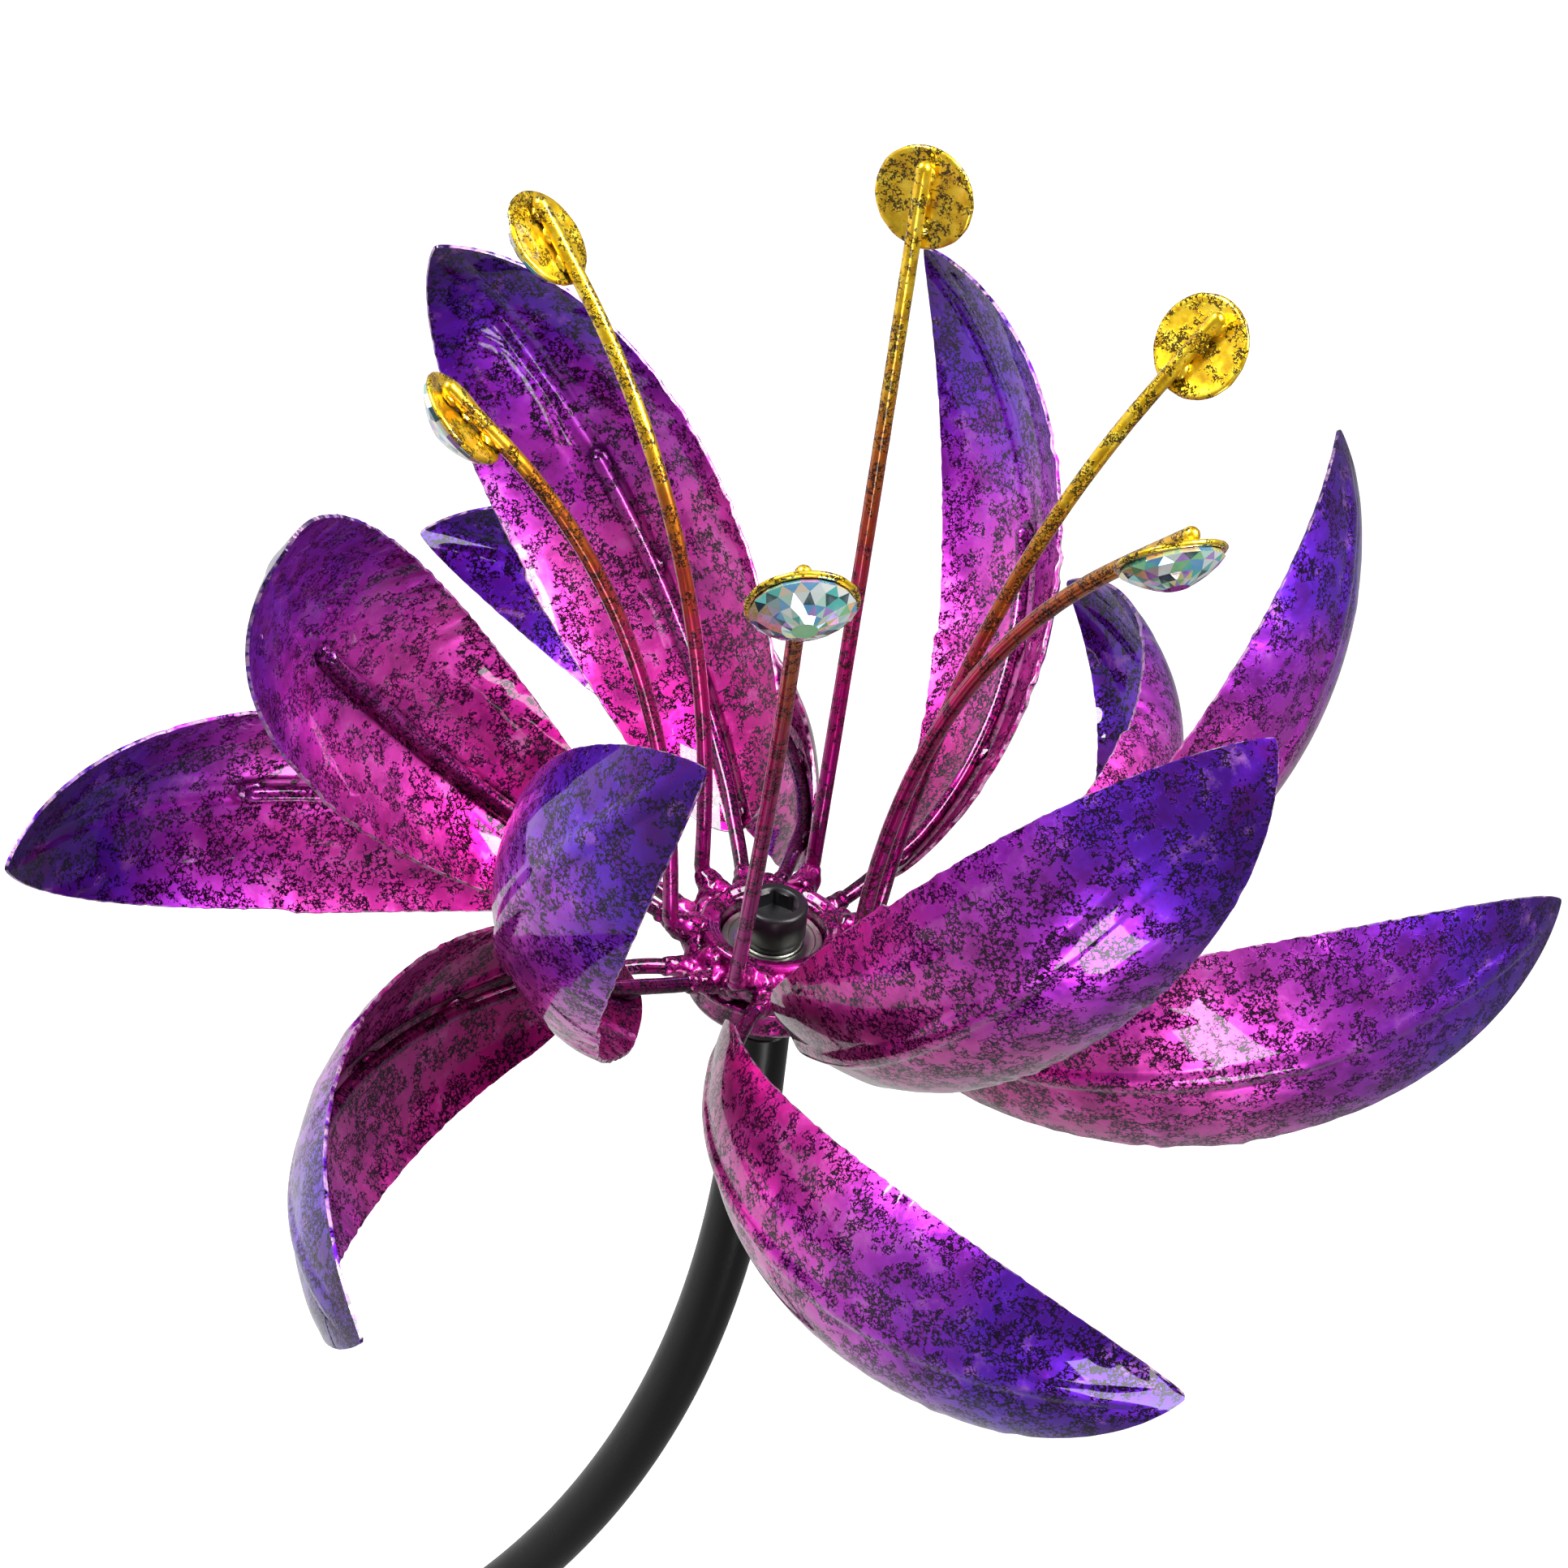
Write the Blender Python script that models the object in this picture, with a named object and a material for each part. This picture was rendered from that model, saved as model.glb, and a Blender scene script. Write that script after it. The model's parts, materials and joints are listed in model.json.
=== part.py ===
"""Lily wind spinner on a gooseneck garden stake.

A two-tier flower of twelve cupped sheet-metal petals and six jewelled stamens is welded to one hub.
The hub runs on two ball bearings on the tip of a curved steel neck, so the whole flower turns freely.
Units are metres, +Z is up, the ground line is z = 0 and the pole stands on the Z axis.
"""

import math

import bmesh
import bpy
import numpy as np
from mathutils import Matrix, Vector

# ---------------------------------------------------------------- driving dimensions
GAP = 0.0003

# petals: every petal is the same pressed leaf, bent a little differently by hand
LEAF_LENGTH = 0.247        # from the virtual root inside the hub to the tip, along the midrib
LEAF_HALF_WIDTH = 0.0359
LEAF_ROOT_POWER = 1.22     # how slowly the leaf widens from its root
LEAF_TIP_POWER = 0.84      # how bluntly it closes at its tip
LEAF_START = 0.164         # fraction of the length where the sheet metal begins
LEAF_ROOT_ROUND = 0.10     # fraction of the length over which the root end is rounded
LEAF_CURL = math.radians(123.0)
LEAF_CURL_CHANGE = math.radians(17.0)
LEAF_CUP_RADIUS = 0.0455
SHEET = 0.0010
LEAF_ROWS = 13
LEAF_COLUMNS = 6

# each tier: distance from the axis, height, lift, roll, sweep and first bearing of its petals
UPPER_TIER = dict(out=0.0089, up=-0.0139, lift=62.0, roll=44.0, sweep=18.5, turn=295.0)
LOWER_TIER = dict(out=0.0084, up=-0.0055, lift=25.0, roll=82.5, sweep=20.0, turn=293.0)

# hand bends of each petal: turn, lift, roll and sweep in degrees, then curl and cup as factors
UPPER_BENDS = (
    (2.3, 5.8, 0.9, 3.1, 0.88, 0.95),
    (0.1, 1.3, -1.3, -2.8, 0.98, 0.84),
    (-4.6, 4.9, 1.2, 3.4, 0.96, 0.86),
    (1.3, 3.0, 4.7, 2.2, 0.97, 1.12),
    (0.9, -8.1, 0.2, 3.1, 0.90, 1.22),
    (-2.3, -4.3, -2.6, -2.9, 0.93, 1.03),
)
LOWER_BENDS = (
    (2.7, 0.3, -3.0, 0.9, 1.06, 0.95),
    (2.8, 0.4, 3.7, 0.7, 1.01, 1.14),
    (0.0, -0.7, 5.9, 0.7, 1.06, 0.83),
    (-8.9, 6.6, -0.2, -4.3, 0.99, 1.37),
    (1.3, -1.2, -2.4, 1.4, 1.19, 0.59),
    (-0.4, -1.9, -3.0, 1.8, 1.06, 0.80),
)

# petal rods
ROD_RADIUS = 0.00215
ROD_END = 0.64             # fraction of the leaf length where the rod stops
ROD_HUB_RADIUS = 0.0228    # where the rod leaves the hub weld
ROD_STANDOFF = SHEET / 2 + ROD_RADIUS + 0.0009
LOWER_ROD_DROP = 0.0035    # the lower rods dip to pass under the stamen feet
ROD_POINTS = 10

# stamens
WIRE_RADIUS = 0.00215
WIRE_FOOT_RADIUS = 0.0284
WIRE_LEG_START = 0.0208
WIRE_LEG_HEIGHT = -0.0018
WIRE_ELBOW = 0.005
WIRE_LENGTH = 0.192
WIRE_LEAN = math.radians(46.0)
WIRE_LEAN_POWER = 1.25
WIRE_STRAIGHT_END = 0.88   # fraction after which the wire runs straight, flat on its disc
WIRE_POINTS = 12
# bearing from the hub, sideways lean, bend factor, length factor, outward lean and plate twist of each wire
STAMENS = (
    (250.8, -0.9, 1.17, 1.00, 3.4, 16.7),
    (183.7, 0.8, -0.05, 1.05, 9.4, -5.2),
    (126.3, 3.6, 0.67, 1.01, 8.3, 28.8),
    (302.8, -7.6, 1.03, 0.89, 2.6, -1.8),
    (5.2, 7.7, 0.21, 0.93, 14.0, 26.2),
    (73.9, -1.2, 1.02, 1.07, 4.4, -21.8),
)
DISC_RADIUS = 0.0140
DISC_THICKNESS = 0.0012
DISC_SETBACK = 0.0085      # disc centre, measured back from the end of its wire
JEWEL_RADIUS = 0.0128
JEWEL_HEIGHT = 0.0066
JEWEL_SIDES = 16

# hub, bearings and spindle, measured along the hub axis from the hub's top rim
HUB_BORE = 0.0143
HUB_RADIUS = 0.0202
HUB_CUP_RADIUS = 0.0231
HUB_SPLIT = -0.0130
HUB_BOTTOM = -0.0233
BEARING_OUTER = 0.0140
BEARING_BORE = 0.00625
BEARING_WIDTH = 0.0080
BEARING_TOPS = (-0.0052, -0.0142)
SCREW_RADIUS = 0.0049
SCREW_HEAD_RADIUS = 0.0089
SCREW_HEAD_HEIGHT = 0.0100
SCREW_HEAD_TOP = 0.0072
SCREW_SOCKET_FLATS = 0.0100
SCREW_SOCKET_DEPTH = 0.0052
SCREW_LENGTH = 0.0420
BOSS_RADIUS = 0.00875
BOSS_LENGTH = 0.0110

# stake
TUBE_RADIUS = 0.0080
TUBE_BORE = 0.0067
SPIGOT_RADIUS = 0.0063
SPIGOT_BORE = 0.0050
SPIGOT_LENGTH = 0.060
NECK_RADIUS = 0.425
NECK_BEND = math.radians(60.0)
NECK_START = 0.600         # height where the neck starts to bend
NECK_TIP = 0.044           # straight run from the bend to the underside of the hub
POLE_JOINT = 0.440
SOCKET_RADIUS = 0.0120
SOCKET_TOP = 0.065
SOCKET_FLOOR = 0.0095
BAR_LENGTH = 0.170
BAR_WIDTH = 0.028
BAR_THICKNESS = 0.005
PRONG_RADIUS = 0.0045
PRONG_LENGTH = 0.200
PRONG_SPACING = 0.140
BOLT_HEIGHT = 0.042
BOLT_RADIUS = 0.0029
BOLT_HEAD_FLATS = 0.010
BOLT_HEAD_HEIGHT = 0.004

SIDES = 8                  # facets round a wire or rod
ROUND = 28                 # facets round a turned piece

# where the hub sits: the neck's end, then straight on along the hub axis
SPIN_AXIS = Vector((0.0, -math.sin(NECK_BEND), math.cos(NECK_BEND)))
NECK_END = Vector((0.0, -NECK_RADIUS * (1 - math.cos(NECK_BEND)), NECK_START + NECK_RADIUS * math.sin(NECK_BEND)))
HUB_CENTRE = NECK_END + SPIN_AXIS * (NECK_TIP - HUB_BOTTOM)


# ---------------------------------------------------------------- helpers
def clear_scene():
    for item in list(bpy.data.objects):
        bpy.data.objects.remove(item, do_unlink=True)


def material(name, colour, metallic, roughness, coat=0.0):
    made = bpy.data.materials.new(name)
    made.use_nodes = True
    shader = made.node_tree.nodes["Principled BSDF"]
    shader.inputs["Base Color"].default_value = (*colour, 1.0)
    shader.inputs["Metallic"].default_value = metallic
    shader.inputs["Roughness"].default_value = roughness
    shader.inputs["Coat Weight"].default_value = coat
    return made


def place(name, data, finish, parent=None, matrix=None):
    made = bpy.data.objects.new(name, data)
    bpy.context.scene.collection.objects.link(made)
    data.materials.append(finish)
    if parent is not None:
        made.parent = parent
    if matrix is not None:
        made.matrix_local = matrix
    return made


def mesh_from(bm, name, sharp=35.0):
    bmesh.ops.recalc_face_normals(bm, faces=bm.faces)
    data = bpy.data.meshes.new(name)
    bm.to_mesh(data)
    bm.free()
    data.shade_smooth()
    data.set_sharp_from_angle(angle=math.radians(sharp))
    return data


def turned_mesh(name, profile, steps=ROUND, closed=True):
    """A profile of (radius, height) points turned round Z; an open profile starts and ends on the axis."""
    bm = bmesh.new()
    verts = [bm.verts.new((radius, 0.0, height)) for radius, height in profile]
    edges = [bm.edges.new(pair) for pair in zip(verts, verts[1:])]
    if closed:
        edges.append(bm.edges.new((verts[-1], verts[0])))
    bmesh.ops.spin(bm, geom=verts + edges, cent=(0, 0, 0), axis=(0, 0, 1), angle=2 * math.pi,
                   steps=steps, use_merge=True)
    bmesh.ops.remove_doubles(bm, verts=bm.verts, dist=1e-7)
    return mesh_from(bm, name)


def prism_mesh(name, sides, radius, low, high):
    bm = bmesh.new()
    bmesh.ops.create_cone(bm, cap_ends=True, segments=sides, radius1=radius, radius2=radius, depth=high - low,
                          matrix=Matrix.Translation((0, 0, (low + high) / 2)))
    return mesh_from(bm, name)


def cut(target, cutter):
    cutter.hide_render = True
    cutter.display_type = "WIRE"
    boolean = target.modifiers.new("cut_" + cutter.name, "BOOLEAN")
    boolean.object = cutter
    boolean.operation = "DIFFERENCE"


def wire_curve(name, points, radius, finish, parent=None, scales=None, sides=SIDES):
    """A round wire along a run of points."""
    data = bpy.data.curves.new(name, "CURVE")
    data.dimensions = "3D"
    data.bevel_depth = radius
    data.bevel_resolution = sides // 4
    data.resolution_u = 1
    data.render_resolution_u = 0
    data.use_fill_caps = True
    spline = data.splines.new("POLY")
    spline.points.add(len(points) - 1)
    for index, point in enumerate(points):
        spline.points[index].co = (*point, 1.0)
        spline.points[index].radius = scales[index] if scales else 1.0
    return place(name, data, finish, parent)


def swept_tube_mesh(name, path, across, outer, inner, sides=14):
    """A hollow tube: rings along a flat path, each square to the path, with its own outer and inner radius."""
    bm = bmesh.new()
    turn = [2 * math.pi * k / sides for k in range(sides)]

    def ring(point, along, radius):
        up = across.cross(along)
        return [bm.verts.new(point + (across * math.cos(a) + up * math.sin(a)) * radius) for a in turn]

    outside = [ring(p, t, r) for (p, t), r in zip(path, outer)]
    inside = [ring(p, t, r) for (p, t), r in zip(path, inner)]
    loop = outside + inside[::-1]
    for low, high in zip(loop, loop[1:] + loop[:1]):
        for k in range(sides):
            nxt = (k + 1) % sides
            bm.faces.new((low[k], low[nxt], high[nxt], high[k]))
    return mesh_from(bm, name)


def point_at(origin, direction):
    """The matrix that stands a piece's Z axis on origin, pointing along direction."""
    return Matrix.Translation(origin) @ direction.to_track_quat("Z", "Y").to_matrix().to_4x4()


# ---------------------------------------------------------------- petals
def leaf_frame(tier, bends, number):
    """Where one petal's flat pattern stands: its origin and its length, width and face directions."""
    turn = math.radians(tier["turn"] + 60.0 * number + bends[0])
    lift = math.radians(tier["lift"] + bends[1])
    roll = math.radians(tier["roll"] + bends[2])
    sweep = math.radians(tier["sweep"] + bends[3])
    outward = Vector((math.cos(turn), math.sin(turn), 0.0))
    sideways = Vector((-math.sin(turn), math.cos(turn), 0.0))
    up = Vector((0.0, 0.0, 1.0))
    length = outward * math.cos(lift) + up * math.sin(lift)
    face = up * math.cos(lift) - outward * math.sin(lift)
    face_rolled = face * math.cos(roll) + sideways * math.sin(roll)
    width_rolled = sideways * math.cos(roll) - face * math.sin(roll)
    length_swept = length * math.cos(sweep) + width_rolled * math.sin(sweep)
    width_swept = width_rolled * math.cos(sweep) - length * math.sin(sweep)
    return outward * tier["out"] + up * tier["up"], length_swept, width_swept, face_rolled


def midrib(curl):
    """The curled midrib as a function of the fraction s of its length: (along, out of the face, slope)."""
    s = np.linspace(0.0, 1.0, 201)
    slope = (LEAF_CURL * (s - 0.5) + LEAF_CURL_CHANGE * (s - 0.5) ** 2) * curl
    step = LEAF_LENGTH / 200
    run = np.concatenate([[0.0], np.cumsum((np.cos(slope[1:]) + np.cos(slope[:-1])) / 2 * step)])
    rise = np.concatenate([[0.0], np.cumsum((np.sin(slope[1:]) + np.sin(slope[:-1])) / 2 * step)])
    return lambda f: (float(np.interp(f, s, run)), float(np.interp(f, s, rise)), float(np.interp(f, s, slope)))


def half_width(f):
    peak = LEAF_ROOT_POWER / (LEAF_ROOT_POWER + LEAF_TIP_POWER)
    full = peak ** LEAF_ROOT_POWER * (1 - peak) ** LEAF_TIP_POWER
    width = LEAF_HALF_WIDTH * f ** LEAF_ROOT_POWER * max(1 - f, 0.0) ** LEAF_TIP_POWER / full
    short = (LEAF_START + LEAF_ROOT_ROUND - f) / LEAF_ROOT_ROUND
    return width * math.sqrt(max(1 - max(short, 0.0) ** 2, 0.0))


def leaf_point(frame, rib, cup_radius, f, u, lift_off=0.0):
    """A point of the cupped sheet: f along the midrib, u from -1 to 1 across, lift_off above its hollow face."""
    origin, length, width, face = frame
    run, rise, slope = rib(f)
    angle = u * half_width(f) / cup_radius
    across = (cup_radius - lift_off) * math.sin(angle)
    dip = cup_radius - (cup_radius - lift_off) * math.cos(angle)
    along = run - math.sin(slope) * dip
    out = rise + math.cos(slope) * dip
    return origin + length * along + width * across + face * out


def petal(name, tier, bends, number, finish, parent):
    frame = leaf_frame(tier, bends, number)
    rib = midrib(bends[4])
    cup = LEAF_CUP_RADIUS * bends[5]
    bm = bmesh.new()
    rows = []
    for i in range(LEAF_ROWS + 1):
        f = LEAF_START + (1 - LEAF_START) * (0.5 - 0.5 * math.cos(math.pi * i / LEAF_ROWS))
        at_end = i in (0, LEAF_ROWS)
        across = [0.0] if at_end else [-1 + 2 * j / LEAF_COLUMNS for j in range(LEAF_COLUMNS + 1)]
        rows.append([bm.verts.new(leaf_point(frame, rib, cup, f, u)) for u in across])
    for low, high in zip(rows, rows[1:]):
        for j in range(LEAF_COLUMNS):
            if len(low) == 1:
                bm.faces.new((low[0], high[j + 1], high[j]))
            elif len(high) == 1:
                bm.faces.new((low[j], low[j + 1], high[0]))
            else:
                bm.faces.new((low[j], low[j + 1], high[j + 1], high[j]))
    made = place(name, mesh_from(bm, name, sharp=60.0), finish, parent)
    solid = made.modifiers.new("sheet_thickness", "SOLIDIFY")
    solid.thickness = SHEET
    solid.offset = 0.0
    return made


def petal_rod(name, tier, bends, number, drop, finish, parent):
    """The rod follows the midrib on the hollow side, from the hub weld to past the leaf's middle."""
    frame = leaf_frame(tier, bends, number)
    rib = midrib(bends[4])
    cup = LEAF_CUP_RADIUS * bends[5]
    path = [leaf_point(frame, rib, cup, f, 0.0, ROD_STANDOFF) for f in np.linspace(0.0, ROD_END, 161)]
    reach = [math.hypot(p.x, p.y) for p in path]
    start = max(i for i, r in enumerate(reach) if r < ROD_HUB_RADIUS)
    picked = [start + round((len(path) - 1 - start) * k / ROD_POINTS) for k in range(ROD_POINTS + 1)]
    points = []
    for i in picked:
        fade = min(max((0.044 - reach[i]) / (0.044 - ROD_HUB_RADIUS), 0.0), 1.0)
        points.append(path[i] - Vector((0.0, 0.0, drop * fade ** 2)))
    tip = points[-1] + (points[-1] - points[-2]).normalized() * ROD_RADIUS * 0.7
    scales = [1.0] * len(points) + [0.55]
    return wire_curve(name, points + [tip], ROD_RADIUS, finish, parent, scales)


# ---------------------------------------------------------------- stamens
def stamen_path(bearing, sideways_lean, bend, length, outward_lean):
    """The wire's points: out of the hub, round an elbow, then up and outward in a widening bend."""
    turn = math.radians(bearing)
    outward = Vector((math.cos(turn), math.sin(turn), 0.0))
    tangent = Vector((-math.sin(turn), math.cos(turn), 0.0))
    up = Vector((0.0, 0.0, 1.0))
    level = up * WIRE_LEG_HEIGHT
    points = [outward * WIRE_LEG_START + level]
    for k in range(4):
        angle = math.pi / 2 * k / 4
        centre = outward * (WIRE_FOOT_RADIUS - WIRE_ELBOW) + level + up * WIRE_ELBOW
        points.append(centre + outward * WIRE_ELBOW * math.sin(angle) - up * WIRE_ELBOW * math.cos(angle))
    foot = outward * WIRE_FOOT_RADIUS + level + up * WIRE_ELBOW
    lean = math.radians(sideways_lean)
    steps = 96
    step = WIRE_LENGTH * length / steps
    out = rise = 0.0
    for k in range(steps + 1):
        if k % (steps // WIRE_POINTS) == 0:
            points.append(foot + outward * out + (up * math.cos(lean) + tangent * math.sin(lean)) * rise)
        f = min((k + 0.5) / steps, WIRE_STRAIGHT_END)
        angle = WIRE_LEAN * bend * f ** WIRE_LEAN_POWER + math.radians(outward_lean)
        out += math.sin(angle) * step
        rise += math.cos(angle) * step
    return points, tangent


def disc_mesh(name):
    """A round plate with a rolled rim."""
    r, t = DISC_RADIUS, DISC_THICKNESS
    profile = [(0, -t / 2), (r - 0.0010, -t / 2 - 0.0002), (r, -0.0003), (r - 0.0002, 0.0003),
               (r - 0.0012, t / 2), (0, t / 2)]
    return turned_mesh(name, profile, steps=20, closed=False)


def jewel_mesh(name):
    """A flat-backed cut stone: girdle, a ring of main facets turned by half a step, and a small table."""
    bm = bmesh.new()
    levels = ((JEWEL_RADIUS * 0.96, 0.0, 0.0), (JEWEL_RADIUS, 0.0012, 0.0),
              (JEWEL_RADIUS * 0.66, JEWEL_HEIGHT * 0.66, 0.5), (JEWEL_RADIUS * 0.30, JEWEL_HEIGHT, 0.0))
    rings = []
    for radius, height, shift in levels:
        angles = [2 * math.pi * (k + shift) / JEWEL_SIDES for k in range(JEWEL_SIDES)]
        rings.append([bm.verts.new((radius * math.cos(a), radius * math.sin(a), height)) for a in angles])
    bm.faces.new(rings[0][::-1])
    bm.faces.new(rings[-1])
    for low, high, shifted in zip(rings, rings[1:], (False, True, True)):
        for k in range(JEWEL_SIDES):
            nxt = (k + 1) % JEWEL_SIDES
            if not shifted:
                bm.faces.new((low[k], low[nxt], high[nxt], high[k]))
            elif low is rings[1]:
                bm.faces.new((low[k], low[nxt], high[k]))
                bm.faces.new((low[nxt], high[nxt], high[k]))
            else:
                bm.faces.new((low[k], high[nxt], high[k]))
                bm.faces.new((low[k], low[nxt], high[nxt]))
    return mesh_from(bm, name, sharp=1.0)


def stamen(number, settings, finishes, parent, shared):
    points, tangent = stamen_path(*settings[:5])
    twist = math.radians(settings[5])
    wire_curve(f"stamen_wire_{number}", points, WIRE_RADIUS, finishes["stamen_gold"], parent)
    along = (points[-1] - points[-2]).normalized()
    away = tangent.cross(along).normalized()
    away = away * math.cos(twist) + along.cross(away) * math.sin(twist)
    disc_centre = points[-1] - along * DISC_SETBACK + away * (WIRE_RADIUS + DISC_THICKNESS / 2 + GAP)
    place(f"stamen_disc_{number}", shared["disc"].copy(), finishes["stamen_gold"], parent,
          point_at(disc_centre, away))
    jewel_base = disc_centre + away * (DISC_THICKNESS / 2 + GAP)
    place(f"stamen_jewel_{number}", shared["jewel"].copy(), finishes["crystal"], parent,
          point_at(jewel_base, away))


# ---------------------------------------------------------------- hub and bearings
def hub(finishes, parent):
    lip = 0.0010
    sleeve = [(HUB_BORE, HUB_SPLIT + GAP / 2), (HUB_RADIUS, HUB_SPLIT + GAP / 2), (HUB_RADIUS, -0.0026),
              (HUB_RADIUS - 0.0004, -0.0011), (HUB_RADIUS - 0.0014, -0.0002), (HUB_RADIUS - 0.0026, 0.0),
              (HUB_BORE + 0.0016, -lip), (HUB_BORE, -2 * lip)]
    place("hub_sleeve", turned_mesh("hub_sleeve", sleeve), finishes["candy_magenta"], parent)
    flange = 0.0122
    top = HUB_SPLIT - GAP / 2
    cup = [(HUB_BORE, top), (HUB_CUP_RADIUS - 0.0008, top), (HUB_CUP_RADIUS, top - 0.0008),
           (HUB_CUP_RADIUS, HUB_BOTTOM + 0.0012), (HUB_CUP_RADIUS - 0.0012, HUB_BOTTOM),
           (flange, HUB_BOTTOM), (flange, HUB_BOTTOM + 0.0008), (HUB_BORE, HUB_BOTTOM + 0.0008)]
    place("hub_cup", turned_mesh("hub_cup", cup), finishes["candy_magenta"], parent)


def bearing(label, top, finishes, spinning, fixed):
    low = top - BEARING_WIDTH
    shield, web = 0.0088, 0.0004
    race = 0.0118
    outer = [(BEARING_OUTER, low), (BEARING_OUTER, top), (race, top), (shield, top - 0.0003),
             (shield, top - 0.0003 - web), (race, top - 0.0003 - web), (race, low + 0.0003 + web),
             (shield, low + 0.0003 + web), (shield, low + 0.0003), (race, low)]
    place(f"{label}_bearing_outer", turned_mesh(f"{label}_bearing_outer", outer), finishes["steel"], spinning)
    ring = [(BEARING_BORE, low), (BEARING_BORE, top), (0.0084, top), (0.0084, low)]
    place(f"{label}_bearing_inner", turned_mesh(f"{label}_bearing_inner", ring), finishes["steel"], fixed)


def spindle(finishes, parent):
    """Everything clamped on the screw: cap screw, washer, sleeve, and the boss welded into the neck."""
    head_low = SCREW_HEAD_TOP - SCREW_HEAD_HEIGHT
    r, top = SCREW_HEAD_RADIUS, SCREW_HEAD_TOP
    profile = [(0, head_low - SCREW_LENGTH), (SCREW_RADIUS - 0.0006, head_low - SCREW_LENGTH),
               (SCREW_RADIUS, head_low - SCREW_LENGTH + 0.0006), (SCREW_RADIUS, head_low), (r, head_low),
               (r, top - 0.0010), (r - 0.0003, top - 0.0004), (r - 0.0010, top), (0, top)]
    screw = place("cap_screw", turned_mesh("cap_screw", profile, closed=False), finishes["black_oxide"], parent)
    socket_radius = SCREW_SOCKET_FLATS / math.sqrt(3)
    cutter = place("cap_screw_socket_cutter", prism_mesh("cap_screw_socket_cutter", 6, socket_radius,
                   top - SCREW_SOCKET_DEPTH, top + 0.002), finishes["black_oxide"], parent)
    cut(screw, cutter)

    washer_top = head_low - GAP
    washer_low = BEARING_TOPS[0] + GAP
    bore = SCREW_RADIUS + GAP
    washer = [(bore, washer_low), (0.0081, washer_low), (0.0081, washer_top), (bore, washer_top)]
    place("clamp_washer", turned_mesh("clamp_washer", washer), finishes["black_oxide"], parent)

    bottom = BEARING_TOPS[1] - BEARING_WIDTH
    sleeve = [(bore, bottom), (BEARING_BORE - GAP, bottom), (BEARING_BORE - GAP, BEARING_TOPS[0]),
              (bore, BEARING_TOPS[0])]
    place("bearing_sleeve", turned_mesh("bearing_sleeve", sleeve), finishes["steel"], parent)

    seat = bottom - GAP
    shoulder = HUB_BOTTOM - 0.0006
    foot = shoulder - BOSS_LENGTH
    plug = TUBE_BORE - 0.0004
    boss = [(bore, seat), (0.0080, seat), (0.0080, shoulder), (BOSS_RADIUS - 0.0005, shoulder),
            (BOSS_RADIUS, shoulder - 0.0005), (BOSS_RADIUS, foot + 0.0005), (BOSS_RADIUS - 0.0005, foot),
            (plug, foot), (plug, foot - 0.016), (bore, foot - 0.016)]
    place("spindle_boss", turned_mesh("spindle_boss", boss), finishes["satin_black"], parent)
    return foot


# ---------------------------------------------------------------- stake
def neck_path(tip_length):
    """Points and directions up the straight run, round the bend and out to the boss."""
    path = []
    spigot_low = POLE_JOINT - SPIGOT_LENGTH
    for height in (spigot_low, POLE_JOINT, POLE_JOINT + 0.0003, POLE_JOINT + 0.0010, NECK_START):
        path.append((Vector((0.0, 0.0, height)), Vector((0.0, 0.0, 1.0))))
    bends = 14
    for k in range(1, bends + 1):
        a = NECK_BEND * k / bends
        point = Vector((0.0, -NECK_RADIUS * (1 - math.cos(a)), NECK_START + NECK_RADIUS * math.sin(a)))
        path.append((point, Vector((0.0, -math.sin(a), math.cos(a)))))
    path.append((NECK_END + SPIN_AXIS * tip_length, SPIN_AXIS))
    return path


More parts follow.
